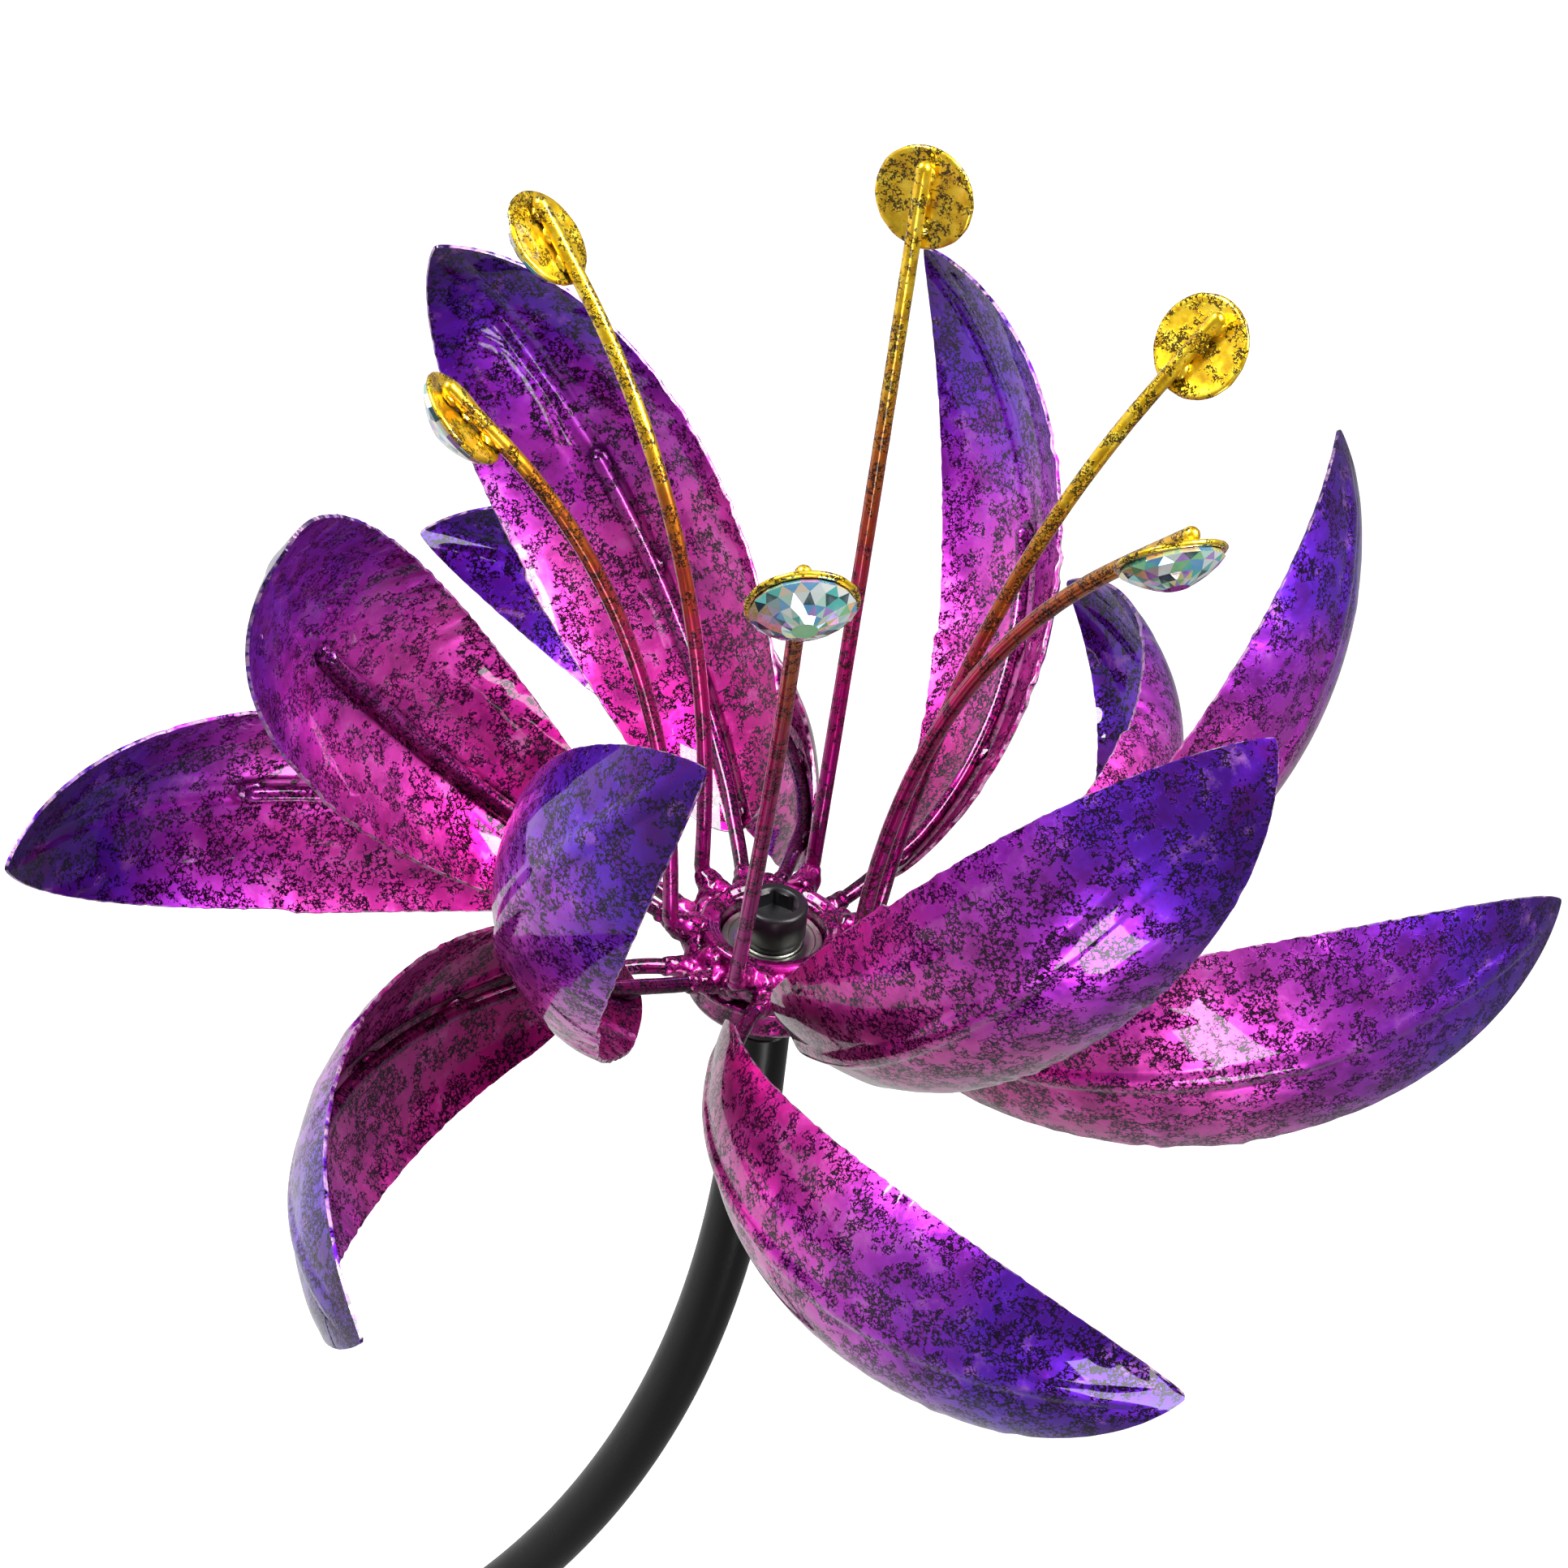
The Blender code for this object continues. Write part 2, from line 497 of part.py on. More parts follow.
def stake(finishes, boss_foot):
    steel = finishes["satin_black"]
    tip = (HUB_CENTRE - NECK_END).length + boss_foot - GAP
    path = neck_path(tip)
    outer = [SPIGOT_RADIUS, SPIGOT_RADIUS, TUBE_RADIUS] + [TUBE_RADIUS] * (len(path) - 3)
    inner = [SPIGOT_BORE] * 3 + [TUBE_BORE] * (len(path) - 3)
    place("neck_tube", swept_tube_mesh("neck_tube", path, Vector((1, 0, 0)), outer, inner), steel)

    low = SOCKET_FLOOR + GAP
    pole = [(TUBE_BORE, low), (TUBE_RADIUS, low), (TUBE_RADIUS, POLE_JOINT - 0.0003),
            (TUBE_BORE, POLE_JOINT - 0.0003)]
    place("pole_tube", turned_mesh("pole_tube", pole, steps=20), steel)

    foot = BAR_THICKNESS + GAP
    bore = TUBE_RADIUS + 0.0003
    socket_profile = [(0, foot), (SOCKET_RADIUS, foot), (SOCKET_RADIUS, SOCKET_TOP - 0.001),
                      (SOCKET_RADIUS - 0.001, SOCKET_TOP), (bore, SOCKET_TOP), (bore, SOCKET_FLOOR),
                      (0, SOCKET_FLOOR)]
    socket = place("ground_socket", turned_mesh("ground_socket", socket_profile, steps=24, closed=False), steel)
    hole = place("bolt_hole_cutter", prism_mesh("bolt_hole_cutter", 20, BOLT_RADIUS + GAP, 0.004, 0.020), steel,
                 matrix=point_at(Vector((0, 0, BOLT_HEIGHT)), Vector((0, -1, 0))))
    cut(socket, hole)

    shank_low = TUBE_RADIUS + 0.0004
    head_low = SOCKET_RADIUS + GAP
    bolt = [(0, shank_low), (BOLT_RADIUS, shank_low), (BOLT_RADIUS, head_low), (0.0062, head_low),
            (0.0062, head_low + 0.0008), (0.0050, head_low + 0.0008), (0.0050, head_low + BOLT_HEAD_HEIGHT),
            (0, head_low + BOLT_HEAD_HEIGHT)]
    place("socket_bolt", turned_mesh("socket_bolt", bolt, steps=18, closed=False), finishes["zinc"],
          matrix=point_at(Vector((0, 0, BOLT_HEIGHT)), Vector((0, -1, 0))))

    bm = bmesh.new()
    bmesh.ops.create_cube(bm, size=1.0, matrix=Matrix.Translation((0, 0, BAR_THICKNESS / 2))
                          @ Matrix.Diagonal((BAR_LENGTH, BAR_WIDTH, BAR_THICKNESS, 1.0)))
    corners = [e for e in bm.edges if abs(e.verts[0].co.z - e.verts[1].co.z) > BAR_THICKNESS / 2]
    bmesh.ops.bevel(bm, geom=corners, offset=0.010, segments=4, affect="EDGES", profile=0.5)
    place("step_bar", mesh_from(bm, "step_bar"), steel)

    tip_length = 0.022
    prong = [(0, -PRONG_LENGTH), (0.0008, -PRONG_LENGTH + 0.0006), (PRONG_RADIUS, -PRONG_LENGTH + tip_length),
             (PRONG_RADIUS, -GAP), (0, -GAP)]
    for side, x in (("left", -PRONG_SPACING / 2), ("right", PRONG_SPACING / 2)):
        place(f"prong_{side}", turned_mesh(f"prong_{side}", prong, steps=14, closed=False), steel,
              matrix=Matrix.Translation((x, 0, 0)))


# ---------------------------------------------------------------- assembly
def axis_empty(name):
    made = bpy.data.objects.new(name, None)
    bpy.context.scene.collection.objects.link(made)
    sideways = Vector((1.0, 0.0, 0.0))
    upward = SPIN_AXIS.cross(sideways)
    turn = Matrix((sideways, upward, SPIN_AXIS)).transposed().to_4x4()
    made.matrix_world = Matrix.Translation(HUB_CENTRE) @ turn
    return made


def build():
    clear_scene()
    finishes = {
        "candy_magenta": material("candy_magenta", (0.46, 0.02, 0.30), 0.85, 0.22, 1.0),
        "candy_violet": material("candy_violet", (0.30, 0.03, 0.45), 0.85, 0.22, 1.0),
        "stamen_gold": material("stamen_gold", (0.62, 0.36, 0.03), 0.9, 0.28, 1.0),
        "crystal": material("crystal", (0.80, 0.90, 0.88), 0.0, 0.05, 1.0),
        "black_oxide": material("black_oxide", (0.012, 0.012, 0.013), 0.6, 0.35),
        "satin_black": material("satin_black", (0.010, 0.010, 0.010), 0.1, 0.42),
        "steel": material("steel", (0.50, 0.50, 0.48), 1.0, 0.30),
        "zinc": material("zinc", (0.62, 0.62, 0.60), 1.0, 0.35),
    }
    flower_axis = axis_empty("flower_axis")
    spindle_axis = axis_empty("spindle_axis")

    hub(finishes, flower_axis)
    for number, bends in enumerate(UPPER_BENDS):
        tag = number + 1
        petal(f"upper_petal_{tag}", UPPER_TIER, bends, number, finishes["candy_violet"], flower_axis)
        petal_rod(f"upper_petal_rod_{tag}", UPPER_TIER, bends, number, 0.0, finishes["candy_magenta"], flower_axis)
    for number, bends in enumerate(LOWER_BENDS):
        tag = number + 1
        petal(f"lower_petal_{tag}", LOWER_TIER, bends, number, finishes["candy_violet"], flower_axis)
        petal_rod(f"lower_petal_rod_{tag}", LOWER_TIER, bends, number, LOWER_ROD_DROP,
                  finishes["candy_magenta"], flower_axis)
    shared = {"disc": disc_mesh("stamen_disc"), "jewel": jewel_mesh("stamen_jewel")}
    for number, settings in enumerate(STAMENS):
        stamen(number + 1, settings, finishes, flower_axis, shared)
    for label, top in zip(("upper", "lower"), BEARING_TOPS):
        bearing(label, top, finishes, flower_axis, spindle_axis)
    boss_foot = spindle(finishes, spindle_axis)
    stake(finishes, boss_foot)


build()
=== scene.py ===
# %% [markdown]
# # A lily wind spinner on a bent garden stake
# The real object is a metal flower that turns in the wind. Twelve pressed petals stand on rods round a small
# hub, six wires with a plate and a cut jewel stand up as stamens, and the hub runs on two ball bearings on
# the tip of a bent black tube. A measured model of the parts already exists, so this lesson opens it first,
# keeps its box, and then builds a finer piece over each part that shows.

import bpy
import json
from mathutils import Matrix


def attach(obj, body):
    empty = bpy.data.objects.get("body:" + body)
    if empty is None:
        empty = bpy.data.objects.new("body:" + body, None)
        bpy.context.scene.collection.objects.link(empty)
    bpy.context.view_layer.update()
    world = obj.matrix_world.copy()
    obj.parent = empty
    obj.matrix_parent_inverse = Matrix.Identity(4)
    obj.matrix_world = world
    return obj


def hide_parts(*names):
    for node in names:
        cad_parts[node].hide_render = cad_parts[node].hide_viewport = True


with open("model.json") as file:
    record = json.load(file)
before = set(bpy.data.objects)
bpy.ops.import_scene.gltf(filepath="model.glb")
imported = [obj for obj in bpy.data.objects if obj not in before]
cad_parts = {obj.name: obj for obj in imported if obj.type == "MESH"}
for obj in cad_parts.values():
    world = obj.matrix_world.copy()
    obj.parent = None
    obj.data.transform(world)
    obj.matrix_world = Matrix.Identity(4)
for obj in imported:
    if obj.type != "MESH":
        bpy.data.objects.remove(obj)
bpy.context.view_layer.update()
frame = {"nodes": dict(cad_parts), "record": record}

# %% The rest of the tools
import json
import math

import bmesh
import bpy
import numpy as np
from mathutils import Matrix, Vector, noise

# %% [markdown]
# ## Where the flower stands
# Every petal and wire is easiest to draw in the hub's own frame: the origin at the centre of the hub's top
# rim and Z along the axis that it spins on. The joint in the measured model gives both, so one matrix carries
# each finished piece from the hub's frame into the world.

# %% The hub's frame
spin_joint = frame["record"]["behaviour"]["joints"][0]
HUB = Vector(spin_joint["pos_m"])
SPIN_AXIS = Vector(spin_joint["axis"]).normalized()
ACROSS = Vector((1.0, 0.0, 0.0))
FLOWER = Matrix((ACROSS, SPIN_AXIS.cross(ACROSS), SPIN_AXIS)).transposed().to_4x4()
FLOWER.translation = HUB
WORLD = Matrix.Identity(4)
print("hub at", tuple(round(c, 4) for c in HUB), "spins about", tuple(round(c, 3) for c in SPIN_AXIS))

# %% [markdown]
# ## The camera
# A long lens looks down on the flower from beside the stake. Its three directions are square to each other,
# and its place is given from the hub, so the view stays right if the stake's height changes.

# %% The camera
LENS, SENSOR, NEAREST = 103.56, 36.0, 0.05
CAMERA_FROM_HUB = Vector((0.8905, -0.46996, 0.68677))
SIDEWAYS = Vector((-0.43707, 0.36631, 0.82146))
UPWARDS = Vector((-0.50046, -0.85791, 0.11629))
TOWARDS = SIDEWAYS.cross(UPWARDS)
camera_data = bpy.data.cameras.new("camera")
camera_data.lens = LENS
camera_data.sensor_width = SENSOR
camera_data.clip_start = NEAREST
camera = bpy.data.objects.new("camera", camera_data)
bpy.context.scene.collection.objects.link(camera)
camera.matrix_world = Matrix((SIDEWAYS, UPWARDS, TOWARDS)).transposed().to_4x4()
camera.location = HUB + CAMERA_FROM_HUB
bpy.context.scene.camera = camera
bpy.context.scene.view_settings.view_transform = "Standard"
print("camera at", tuple(round(c, 3) for c in camera.location))

# %% [markdown]
# ## Writing a finish as sums
# A material is a net of nodes, and most of its work is arithmetic on numbers: thresholds, products, mixes.
# A small class wraps one socket, so that such sums are written as Python expressions and each one adds its
# own Math nodes. Everything else, textures and ramps included, comes from one method of the finish itself.

# %% A socket that can be added and multiplied
class Wire:
    def __init__(self, finish, socket):
        self.finish = finish
        self.socket = socket

    def sum_with(self, operation, *values):
        return self.finish.node("Math", {"operation": operation}, dict(enumerate(values)))

    def __add__(self, other):
        return self.sum_with("ADD", self, other)

    def __radd__(self, other):
        return self.sum_with("ADD", other, self)

    def __sub__(self, other):
        return self.sum_with("SUBTRACT", self, other)

    def __rsub__(self, other):
        return self.sum_with("SUBTRACT", other, self)

    def __mul__(self, other):
        return self.sum_with("MULTIPLY", self, other)

    def __rmul__(self, other):
        return self.sum_with("MULTIPLY", other, self)

    def larger(self, other):
        return self.sum_with("MAXIMUM", self, other)

    def between(self, low, high, at_low=0.0, at_high=1.0):
        """Runs smoothly from at_low to at_high while this goes from low to high."""
        return self.finish.node("MapRange", {"interpolation_type": "SMOOTHSTEP"}, {
            "Value": self, "From Min": low, "From Max": high, "To Min": at_low, "To Max": at_high})


# %% A finish under construction
class Finish:
    def __init__(self, name, **uniform):
        self.material = bpy.data.materials.new(name)
        self.material.use_nodes = True
        self.tree = self.material.node_tree
        self.shader = self.tree.nodes["Principled BSDF"]
        for socket, value in uniform.items():
            self.shader.inputs[socket.replace("_", " ")].default_value = value

    def node(self, kind, settings=None, sockets=None, output=0):
        made = self.tree.nodes.new("ShaderNode" + kind)
        for name, value in (settings or {}).items():
            if name == "stops":
                self.set_stops(made.color_ramp, value)
            else:
                setattr(made, name, value)
        for name, value in (sockets or {}).items():
            self.feed(made.inputs[name], value)
        return Wire(self, made.outputs[output])

    def set_stops(self, ramp, stops):
        while len(ramp.elements) < len(stops):
            ramp.elements.new(0.5)
        for element, (place, colour) in zip(ramp.elements, stops):
            element.position = place
            element.color = (*colour, 1.0)

    def feed(self, socket, value):
        if isinstance(value, Wire):
            self.tree.links.new(value.socket, socket)
        elif socket.type == "RGBA":
            socket.default_value = (*value, 1.0)
        else:
            socket.default_value = value

    def surface(self, **sockets):
        for name, value in sockets.items():
            self.feed(self.shader.inputs[name.replace("_", " ")], value)

    def place(self):
        return self.node("TexCoord", output=3)

    def measure(self, name):
        return self.node("Attribute", {"attribute_name": name}, output=2)

    def noise(self, where, scale, detail=2.0, roughness=0.5, output=0):
        return self.node("TexNoise", None, {"Vector": where, "Scale": scale, "Detail": detail,
                         "Roughness": roughness}, output)

    def ramp(self, along, stops):
        return self.node("ValToRGB", {"stops": stops}, {"Fac": along})

    def colour_mix(self, share, first, second):
        return self.node("Mix", {"data_type": "RGBA"}, {0: share, 6: first, 7: second}, 2)

    def bump(self, height, distance, strength=1.0, under=None):
        sockets = {"Height": height, "Distance": distance, "Strength": strength}
        if under is not None:
            sockets["Normal"] = under
        return self.node("Bump", None, sockets)


print("finishes can be written as sums")

# %% [markdown]
# ## The crackle
# Over the bright lacquer lies a fine black crackle: winding threads less than half a millimetre wide that
# join into loops and gather in patches. Cells whose edges are kept give the threads, and a warp of the
# coordinates makes them wander. A slower pattern decides where they gather, a finer one breaks them up, and
# small clots fill some of the loops.

# %% Crackle as a mask
THREAD_CELLS = 540.0       # cells to a metre, whose edges are the threads
THREAD_WANDER = 0.0042     # how far the warp can move a thread, in metres


def crackle(finish, where, gather, width=0.150):
    """One on the black threads. They gather where a slow pattern is above the given level."""
    wander = finish.noise(where, 520.0, 3.0, 0.65, output=1)
    pull = finish.node("VectorMath", {"operation": "SUBTRACT"}, {0: wander, 1: (0.5, 0.5, 0.5)})
    pull = finish.node("VectorMath", {"operation": "SCALE"}, {0: pull, "Scale": THREAD_WANDER})
    bent = finish.node("VectorMath", {"operation": "ADD"}, {0: where, 1: pull})
    edge = finish.node("TexVoronoi", {"feature": "DISTANCE_TO_EDGE"}, {"Vector": bent, "Scale": THREAD_CELLS})
    threads = edge.between(width * 0.65, width, 1.0, 0.0)
    patches = finish.noise(where, 170.0, 4.0, 0.66).between(gather, gather + 0.04)
    broken = finish.noise(where, 900.0, 2.0, 0.6).between(0.32, 0.40)
    clots = finish.noise(bent, 760.0, 2.0, 0.6).between(0.575, 0.60) * patches
    return (threads * patches * broken).larger(clots)


# %% [markdown]
# ## The candy lacquer
# Each petal is bright metal under transparent coloured lacquer, sprayed magenta at the hub and violet to
# deep blue at the tip, then crackled and clear coated. A number stored along each leaf drives the colour, so
# the spray follows the petal whichever way it points. The metal flake wants some roughness, while the coat
# over it stays sharp: that is what gives soft coloured sheen and hard white reflections at once. The rods
# wear the same finish with painted shade over it, darker as if shaded in their channels, and crackled a
# little more.

# %% Petal finish
SPRAY = ((0.17, (0.230, 0.002, 0.085)), (0.33, (0.570, 0.014, 0.270)), (0.54, (0.830, 0.080, 0.560)),
         (0.69, (0.500, 0.040, 0.660)), (0.82, (0.140, 0.018, 0.640)), (0.96, (0.060, 0.005, 0.250)))
PALE_LILAC, DEEP_PLUM, PAINTED_SHADE_PLUM = (0.95, 0.36, 0.88), (0.10, 0.002, 0.09), (0.060, 0.001, 0.050)
WORN_AND_GLINTING_RIM = (0.72, 0.45, 0.66)
CRACKLE_BLACK = (0.003, 0.001, 0.004)
CLEAR_COAT = dict(Coat_Weight=1.0, Coat_IOR=1.40, Specular_IOR_Level=0.0)


def petal_finish(name, painted_shade, gather):
    """The lacquer with a share of painted shade over it and crackle that gathers above a level."""
    made = Finish(name, Coat_Roughness=0.035, **CLEAR_COAT)
    where = made.place()
    reach = made.measure("reach")
    drift = made.noise(where, 26.0, 3.0, 0.6)
    colour = made.ramp(reach + (drift - 0.5) * 0.24, SPRAY)
    flow = made.noise(where, 95.0, 4.0, 0.65)
    colour = made.colour_mix(flow.between(0.54, 0.70, 0.0, 0.24), colour, PALE_LILAC)
    colour = made.colour_mix(flow.between(0.34, 0.53, 0.42, 0.0), colour, DEEP_PLUM)
    # Painted shade: a share of dark plum over the colour darkens the rods, as if shaded in their channels.
    colour = made.colour_mix(painted_shade, colour, PAINTED_SHADE_PLUM)
    black = crackle(made, where, gather)
    colour = made.colour_mix(black * 0.98, colour, CRACKLE_BLACK)
    # A thin broken paler strip along the cut edge: partly worn bare metal, partly a painted highlight where
    # the edge catches light.
    bare_and_glinting = made.measure("rim").between(0.82, 1.0) * made.noise(where, 300.0, 2.0).between(0.42, 0.60)
    colour = made.colour_mix(bare_and_glinting * 0.45, colour, WORN_AND_GLINTING_RIM)
    flake = made.noise(where, 3200.0, 1.0, 0.5)
    rough = 0.28 + flow * 0.16 + black * 0.30
    relief = black * 0.35 + flake * 0.25
    orange_peel = made.noise(where, 210.0, 2.0, 0.5)
    normal = made.bump(relief, 0.00012, 0.55, made.bump(orange_peel, 0.0006, 0.30))
    made.surface(Base_Color=colour, Roughness=rough, Metallic=0.92 - black * 0.9, Normal=normal)
    return made.material


CANDY_PETAL = petal_finish("candy_petal", 0.0, 0.45)
# The rods take painted shade: over half of their colour is dark plum.
CANDY_ROD = petal_finish("candy_rod", 0.55, 0.41)
print("petal finish:", len(CANDY_PETAL.node_tree.nodes), "nodes")


# %% [markdown]
# The hub and its weld metal carry the same lacquer in magenta alone. The weld is lumpy and its facets
# glitter, so its flake stands higher.

# %% Hub finish
HUB_SPRAY = ((0.30, (0.100, 0.002, 0.060)), (0.48, (0.260, 0.004, 0.130)), (0.62, (0.440, 0.012, 0.240)),
             (0.76, (0.700, 0.090, 0.480)))
HUB_BLACK = (0.004, 0.001, 0.003)


def hub_finish(name, glitter):
    made = Finish(name, Coat_Roughness=0.04, **CLEAR_COAT)
    where = made.place()
    flow = made.noise(where, 240.0, 4.0, 0.65)
    black = crackle(made, where, 0.45, 0.16)
    colour = made.colour_mix(black * 0.97, made.ramp(flow, HUB_SPRAY), HUB_BLACK)
    sparks = made.noise(where, 1500.0, 2.0, 0.5)
    normal = made.bump(sparks * glitter + black * 0.4, 0.0003, 0.6, made.bump(flow, 0.0008, 0.25))
    made.surface(Base_Color=colour, Roughness=0.30 + flow * 0.14 + black * 0.2,
                 Metallic=0.92 - black * 0.8, Normal=normal)
    return made.material


CANDY_HUB = hub_finish("candy_hub", 0.25)
CANDY_WELD = hub_finish("candy_weld", 1.0)
print("hub finishes:", CANDY_HUB.name, CANDY_WELD.name)

# %% [markdown]
# ## Gold for the stamens
# The plates are gold under the same crackle, and each wire fades from the hub's magenta through burnt orange
# to that gold. A number stored along the wire drives the fade.

# %% Stamen finishes
GOLD = ((0.32, (0.520, 0.270, 0.008)), (0.50, (0.840, 0.540, 0.012)), (0.68, (0.960, 0.740, 0.070)))
MAGENTA_TO_GOLD = ((0.16, (0.360, 0.005, 0.200)), (0.38, (0.420, 0.010, 0.130)),
                   (0.50, (0.360, 0.045, 0.018)), (0.64, (0.460, 0.150, 0.008)),
                   (0.78, (0.760, 0.440, 0.012)))
GOLD_BLACK = (0.010, 0.005, 0.002)


def gold_finish(name, faded):
    made = Finish(name, Coat_Roughness=0.04, **CLEAR_COAT)
    where = made.place()
    flow = made.noise(where, 190.0, 4.0, 0.65)
    colour = made.ramp(flow, GOLD)
    if faded:
        along = made.measure("reach") + (flow - 0.5) * 0.22
        colour = made.colour_mix(along.between(0.66, 0.84), made.ramp(along, MAGENTA_TO_GOLD), colour)
    black = crackle(made, where, 0.47, 0.14)
    colour = made.colour_mix(black * 0.96, colour, GOLD_BLACK)
    normal = made.bump(black * 0.5 + flow * 0.4, 0.0002, 0.5)
    made.surface(Base_Color=colour, Roughness=0.25 + flow * 0.14 + black * 0.2,
                 Metallic=0.9 - black * 0.6, Normal=normal)
    return made.material


GOLD_WIRE = gold_finish("gold_wire", True)
GOLD_PLATE = gold_finish("gold_plate", False)
print("stamen finishes:", GOLD_WIRE.name, GOLD_PLATE.name)

# %% [markdown]
# ## Jewels, steel and black
# The jewels are clear cut stones with a mirror back and a rainbow coating. Their flashes are painted: each
# facet stores its own fixed colour, a painted reflection of the coating's rainbow and of light and dark
# surroundings. The screw is black oxide, oily and even. The tube is satin powder coat, with the faint orange
# peel that the powder leaves. Bearings are ground steel, slightly green.

# %% Jewel finish
JEWEL_CLOUD = (0.86, 0.93, 0.90)


def jewel_finish():
    made = Finish("cut_jewel", Metallic=0.70, Roughness=0.04, Coat_Weight=1.0, Coat_Roughness=0.01, IOR=1.75)
    tint = made.node("Attribute", {"attribute_name": "tint"}, output=0)
    cloud = made.noise(made.place(), 420.0, 2.0).between(0.45, 0.65, 0.0, 0.12)
    # The stored facet colours are painted reflections: painted flashes of the rainbow coating and of light
    # and dark surroundings.
    made.surface(Base_Color=made.colour_mix(cloud, tint, JEWEL_CLOUD))
    return made.material


# %% Plain metals and powder coat
def metal_finish(name, colour, metallic, rough, grain, relief, worn, shine=0.5):
    """A plain surface with a grain (to a metre), its relief in metres and a share of worn spots."""
    made = Finish(name, Metallic=metallic, Specular_IOR_Level=shine)
    where = made.place()
    fine = made.noise(where, grain, 3.0, 0.6)
    slow = made.noise(where, grain * 0.06, 3.0, 0.6)
    scuffs = made.noise(where, grain * 0.35, 5.0, 0.7).between(0.62, 0.74)
    darker = [c * 0.62 for c in colour]
    brighter = [min(c * 1.8 + 0.02, 1.0) for c in colour]
    tone = made.colour_mix(slow.between(0.35, 0.65, 0.0, 0.5), colour, darker)
    tone = made.colour_mix(scuffs * worn, tone, brighter)
    dull = rough + (fine - 0.5) * 0.10 + (slow - 0.5) * 0.12 + scuffs * 0.06
    made.surface(Base_Color=tone, Roughness=dull, Normal=made.bump(fine, relief, 0.4))
    return made.material


CUT_JEWEL = jewel_finish()
BLACK_OXIDE = metal_finish("black_oxide_steel", (0.008, 0.008, 0.009), 0.20, 0.36, 2600.0, 0.00006,
                           0.20, 0.35)
SATIN_BLACK = metal_finish("satin_black_powder", (0.0030, 0.0031, 0.0033), 0.0, 0.30, 1300.0, 0.00010,
                           0.10, 0.22)
BEARING_STEEL = metal_finish("bearing_steel", (0.46, 0.47, 0.42), 1.0, 0.30, 3000.0, 0.00003, 0.2)
BRIGHT_ZINC = metal_finish("bright_zinc", (0.60, 0.60, 0.58), 1.0, 0.34, 1800.0, 0.00005, 0.3)
print("metals and jewel ready")

# %% [markdown]
# ## From points to pieces
# All pieces are made as meshes from points worked out by formula. One helper turns a mesh into a named piece,
# gives it its finish, puts it on the right body and hides the measured parts that it stands for. Others close
# a sheet of points, turn a profile round an axis, and draw a round wire along a path.

# %% A finished piece
def finish_mesh(data, smooth_angle):
    data.shade_smooth()
    data.set_sharp_from_angle(angle=math.radians(smooth_angle))


def add_piece(name, data, material, stands_for, body="flower", matrix=FLOWER):
    data.materials.append(material)
    data.transform(matrix)
    piece = bpy.data.objects.new(name, data)
    bpy.context.scene.collection.objects.link(piece)
    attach(piece, body)
    if stands_for:
        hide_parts(*stands_for)


def grid_mesh(name, points, closed_across=False, closed_along=False):
    """A mesh from a grid of points: rows along, columns across."""
    rows, columns = points.shape[:2]
    index = np.arange(rows * columns).reshape(rows, columns)
    if closed_across:
        index = np.concatenate([index, index[:, :1]], 1)
    if closed_along:
        index = np.concatenate([index, index[:1]], 0)
    quads = np.stack([index[:-1, :-1], index[:-1, 1:], index[1:, 1:], index[1:, :-1]], -1).reshape(-1, 4)
    data = bpy.data.meshes.new(name)
    data.from_pydata(points.reshape(-1, 3).tolist(), [], quads.tolist())
    return data


def store_number(data, name, values):
    layer = data.attributes.new(name, "FLOAT", "POINT")
    layer.data.foreach_set("value", np.asarray(values, dtype=np.float32))


def rescale_number(data, name, start, size):
    """Turns each stored number x into start + size * x."""
    layer = data.attributes[name].data
    values = np.zeros(len(layer), dtype=np.float32)
    layer.foreach_get("value", values)
    layer.foreach_set("value", (start + size * values).astype(np.float32))


TOUCHING = 1e-7     # metres


def close_ring(data, smooth_angle):
    """Joins the touching points of a sheet that closes on itself and faces it outwards."""
    bm = bmesh.new()
    bm.from_mesh(data)
    bmesh.ops.remove_doubles(bm, verts=bm.verts, dist=TOUCHING)
    bmesh.ops.dissolve_degenerate(bm, edges=bm.edges, dist=TOUCHING / 2)
    bmesh.ops.recalc_face_normals(bm, faces=bm.faces)
    bm.to_mesh(data)
    bm.free()
    finish_mesh(data, smooth_angle)
    return data


def close_ends(data, smooth_angle, merge=None):
    """Fills a sheet's open ends, merges points that are nearly one, and faces it outwards."""
    bm = bmesh.new()
    bm.from_mesh(data)
    bmesh.ops.holes_fill(bm, edges=[e for e in bm.edges if e.is_boundary], sides=0)
    if merge:
        bmesh.ops.triangulate(bm, faces=[face for face in bm.faces if len(face.verts) > 4])
        bmesh.ops.remove_doubles(bm, verts=bm.verts, dist=merge)
    bmesh.ops.recalc_face_normals(bm, faces=bm.faces)
    bm.to_mesh(data)
    bm.free()
    finish_mesh(data, smooth_angle)
    return data


# %% Turned pieces
def turned_mesh(name, profile, steps=96, closed=True, smooth_angle=35.0):
    """A profile of (radius, height) points turned round Z."""
    bm = bmesh.new()
    verts = [bm.verts.new((radius, 0.0, height)) for radius, height in profile]
    edges = [bm.edges.new(pair) for pair in zip(verts, verts[1:])]
    if closed:
        edges.append(bm.edges.new((verts[-1], verts[0])))
    bmesh.ops.spin(bm, geom=verts + edges, cent=(0, 0, 0), axis=(0, 0, 1), angle=2 * math.pi,
                   steps=steps, use_merge=True)
    bmesh.ops.remove_doubles(bm, verts=bm.verts, dist=TOUCHING)
    bmesh.ops.recalc_face_normals(bm, faces=bm.faces)
    data = bpy.data.meshes.new(name)
    bm.to_mesh(data)
    bm.free()
    finish_mesh(data, smooth_angle)
    return data


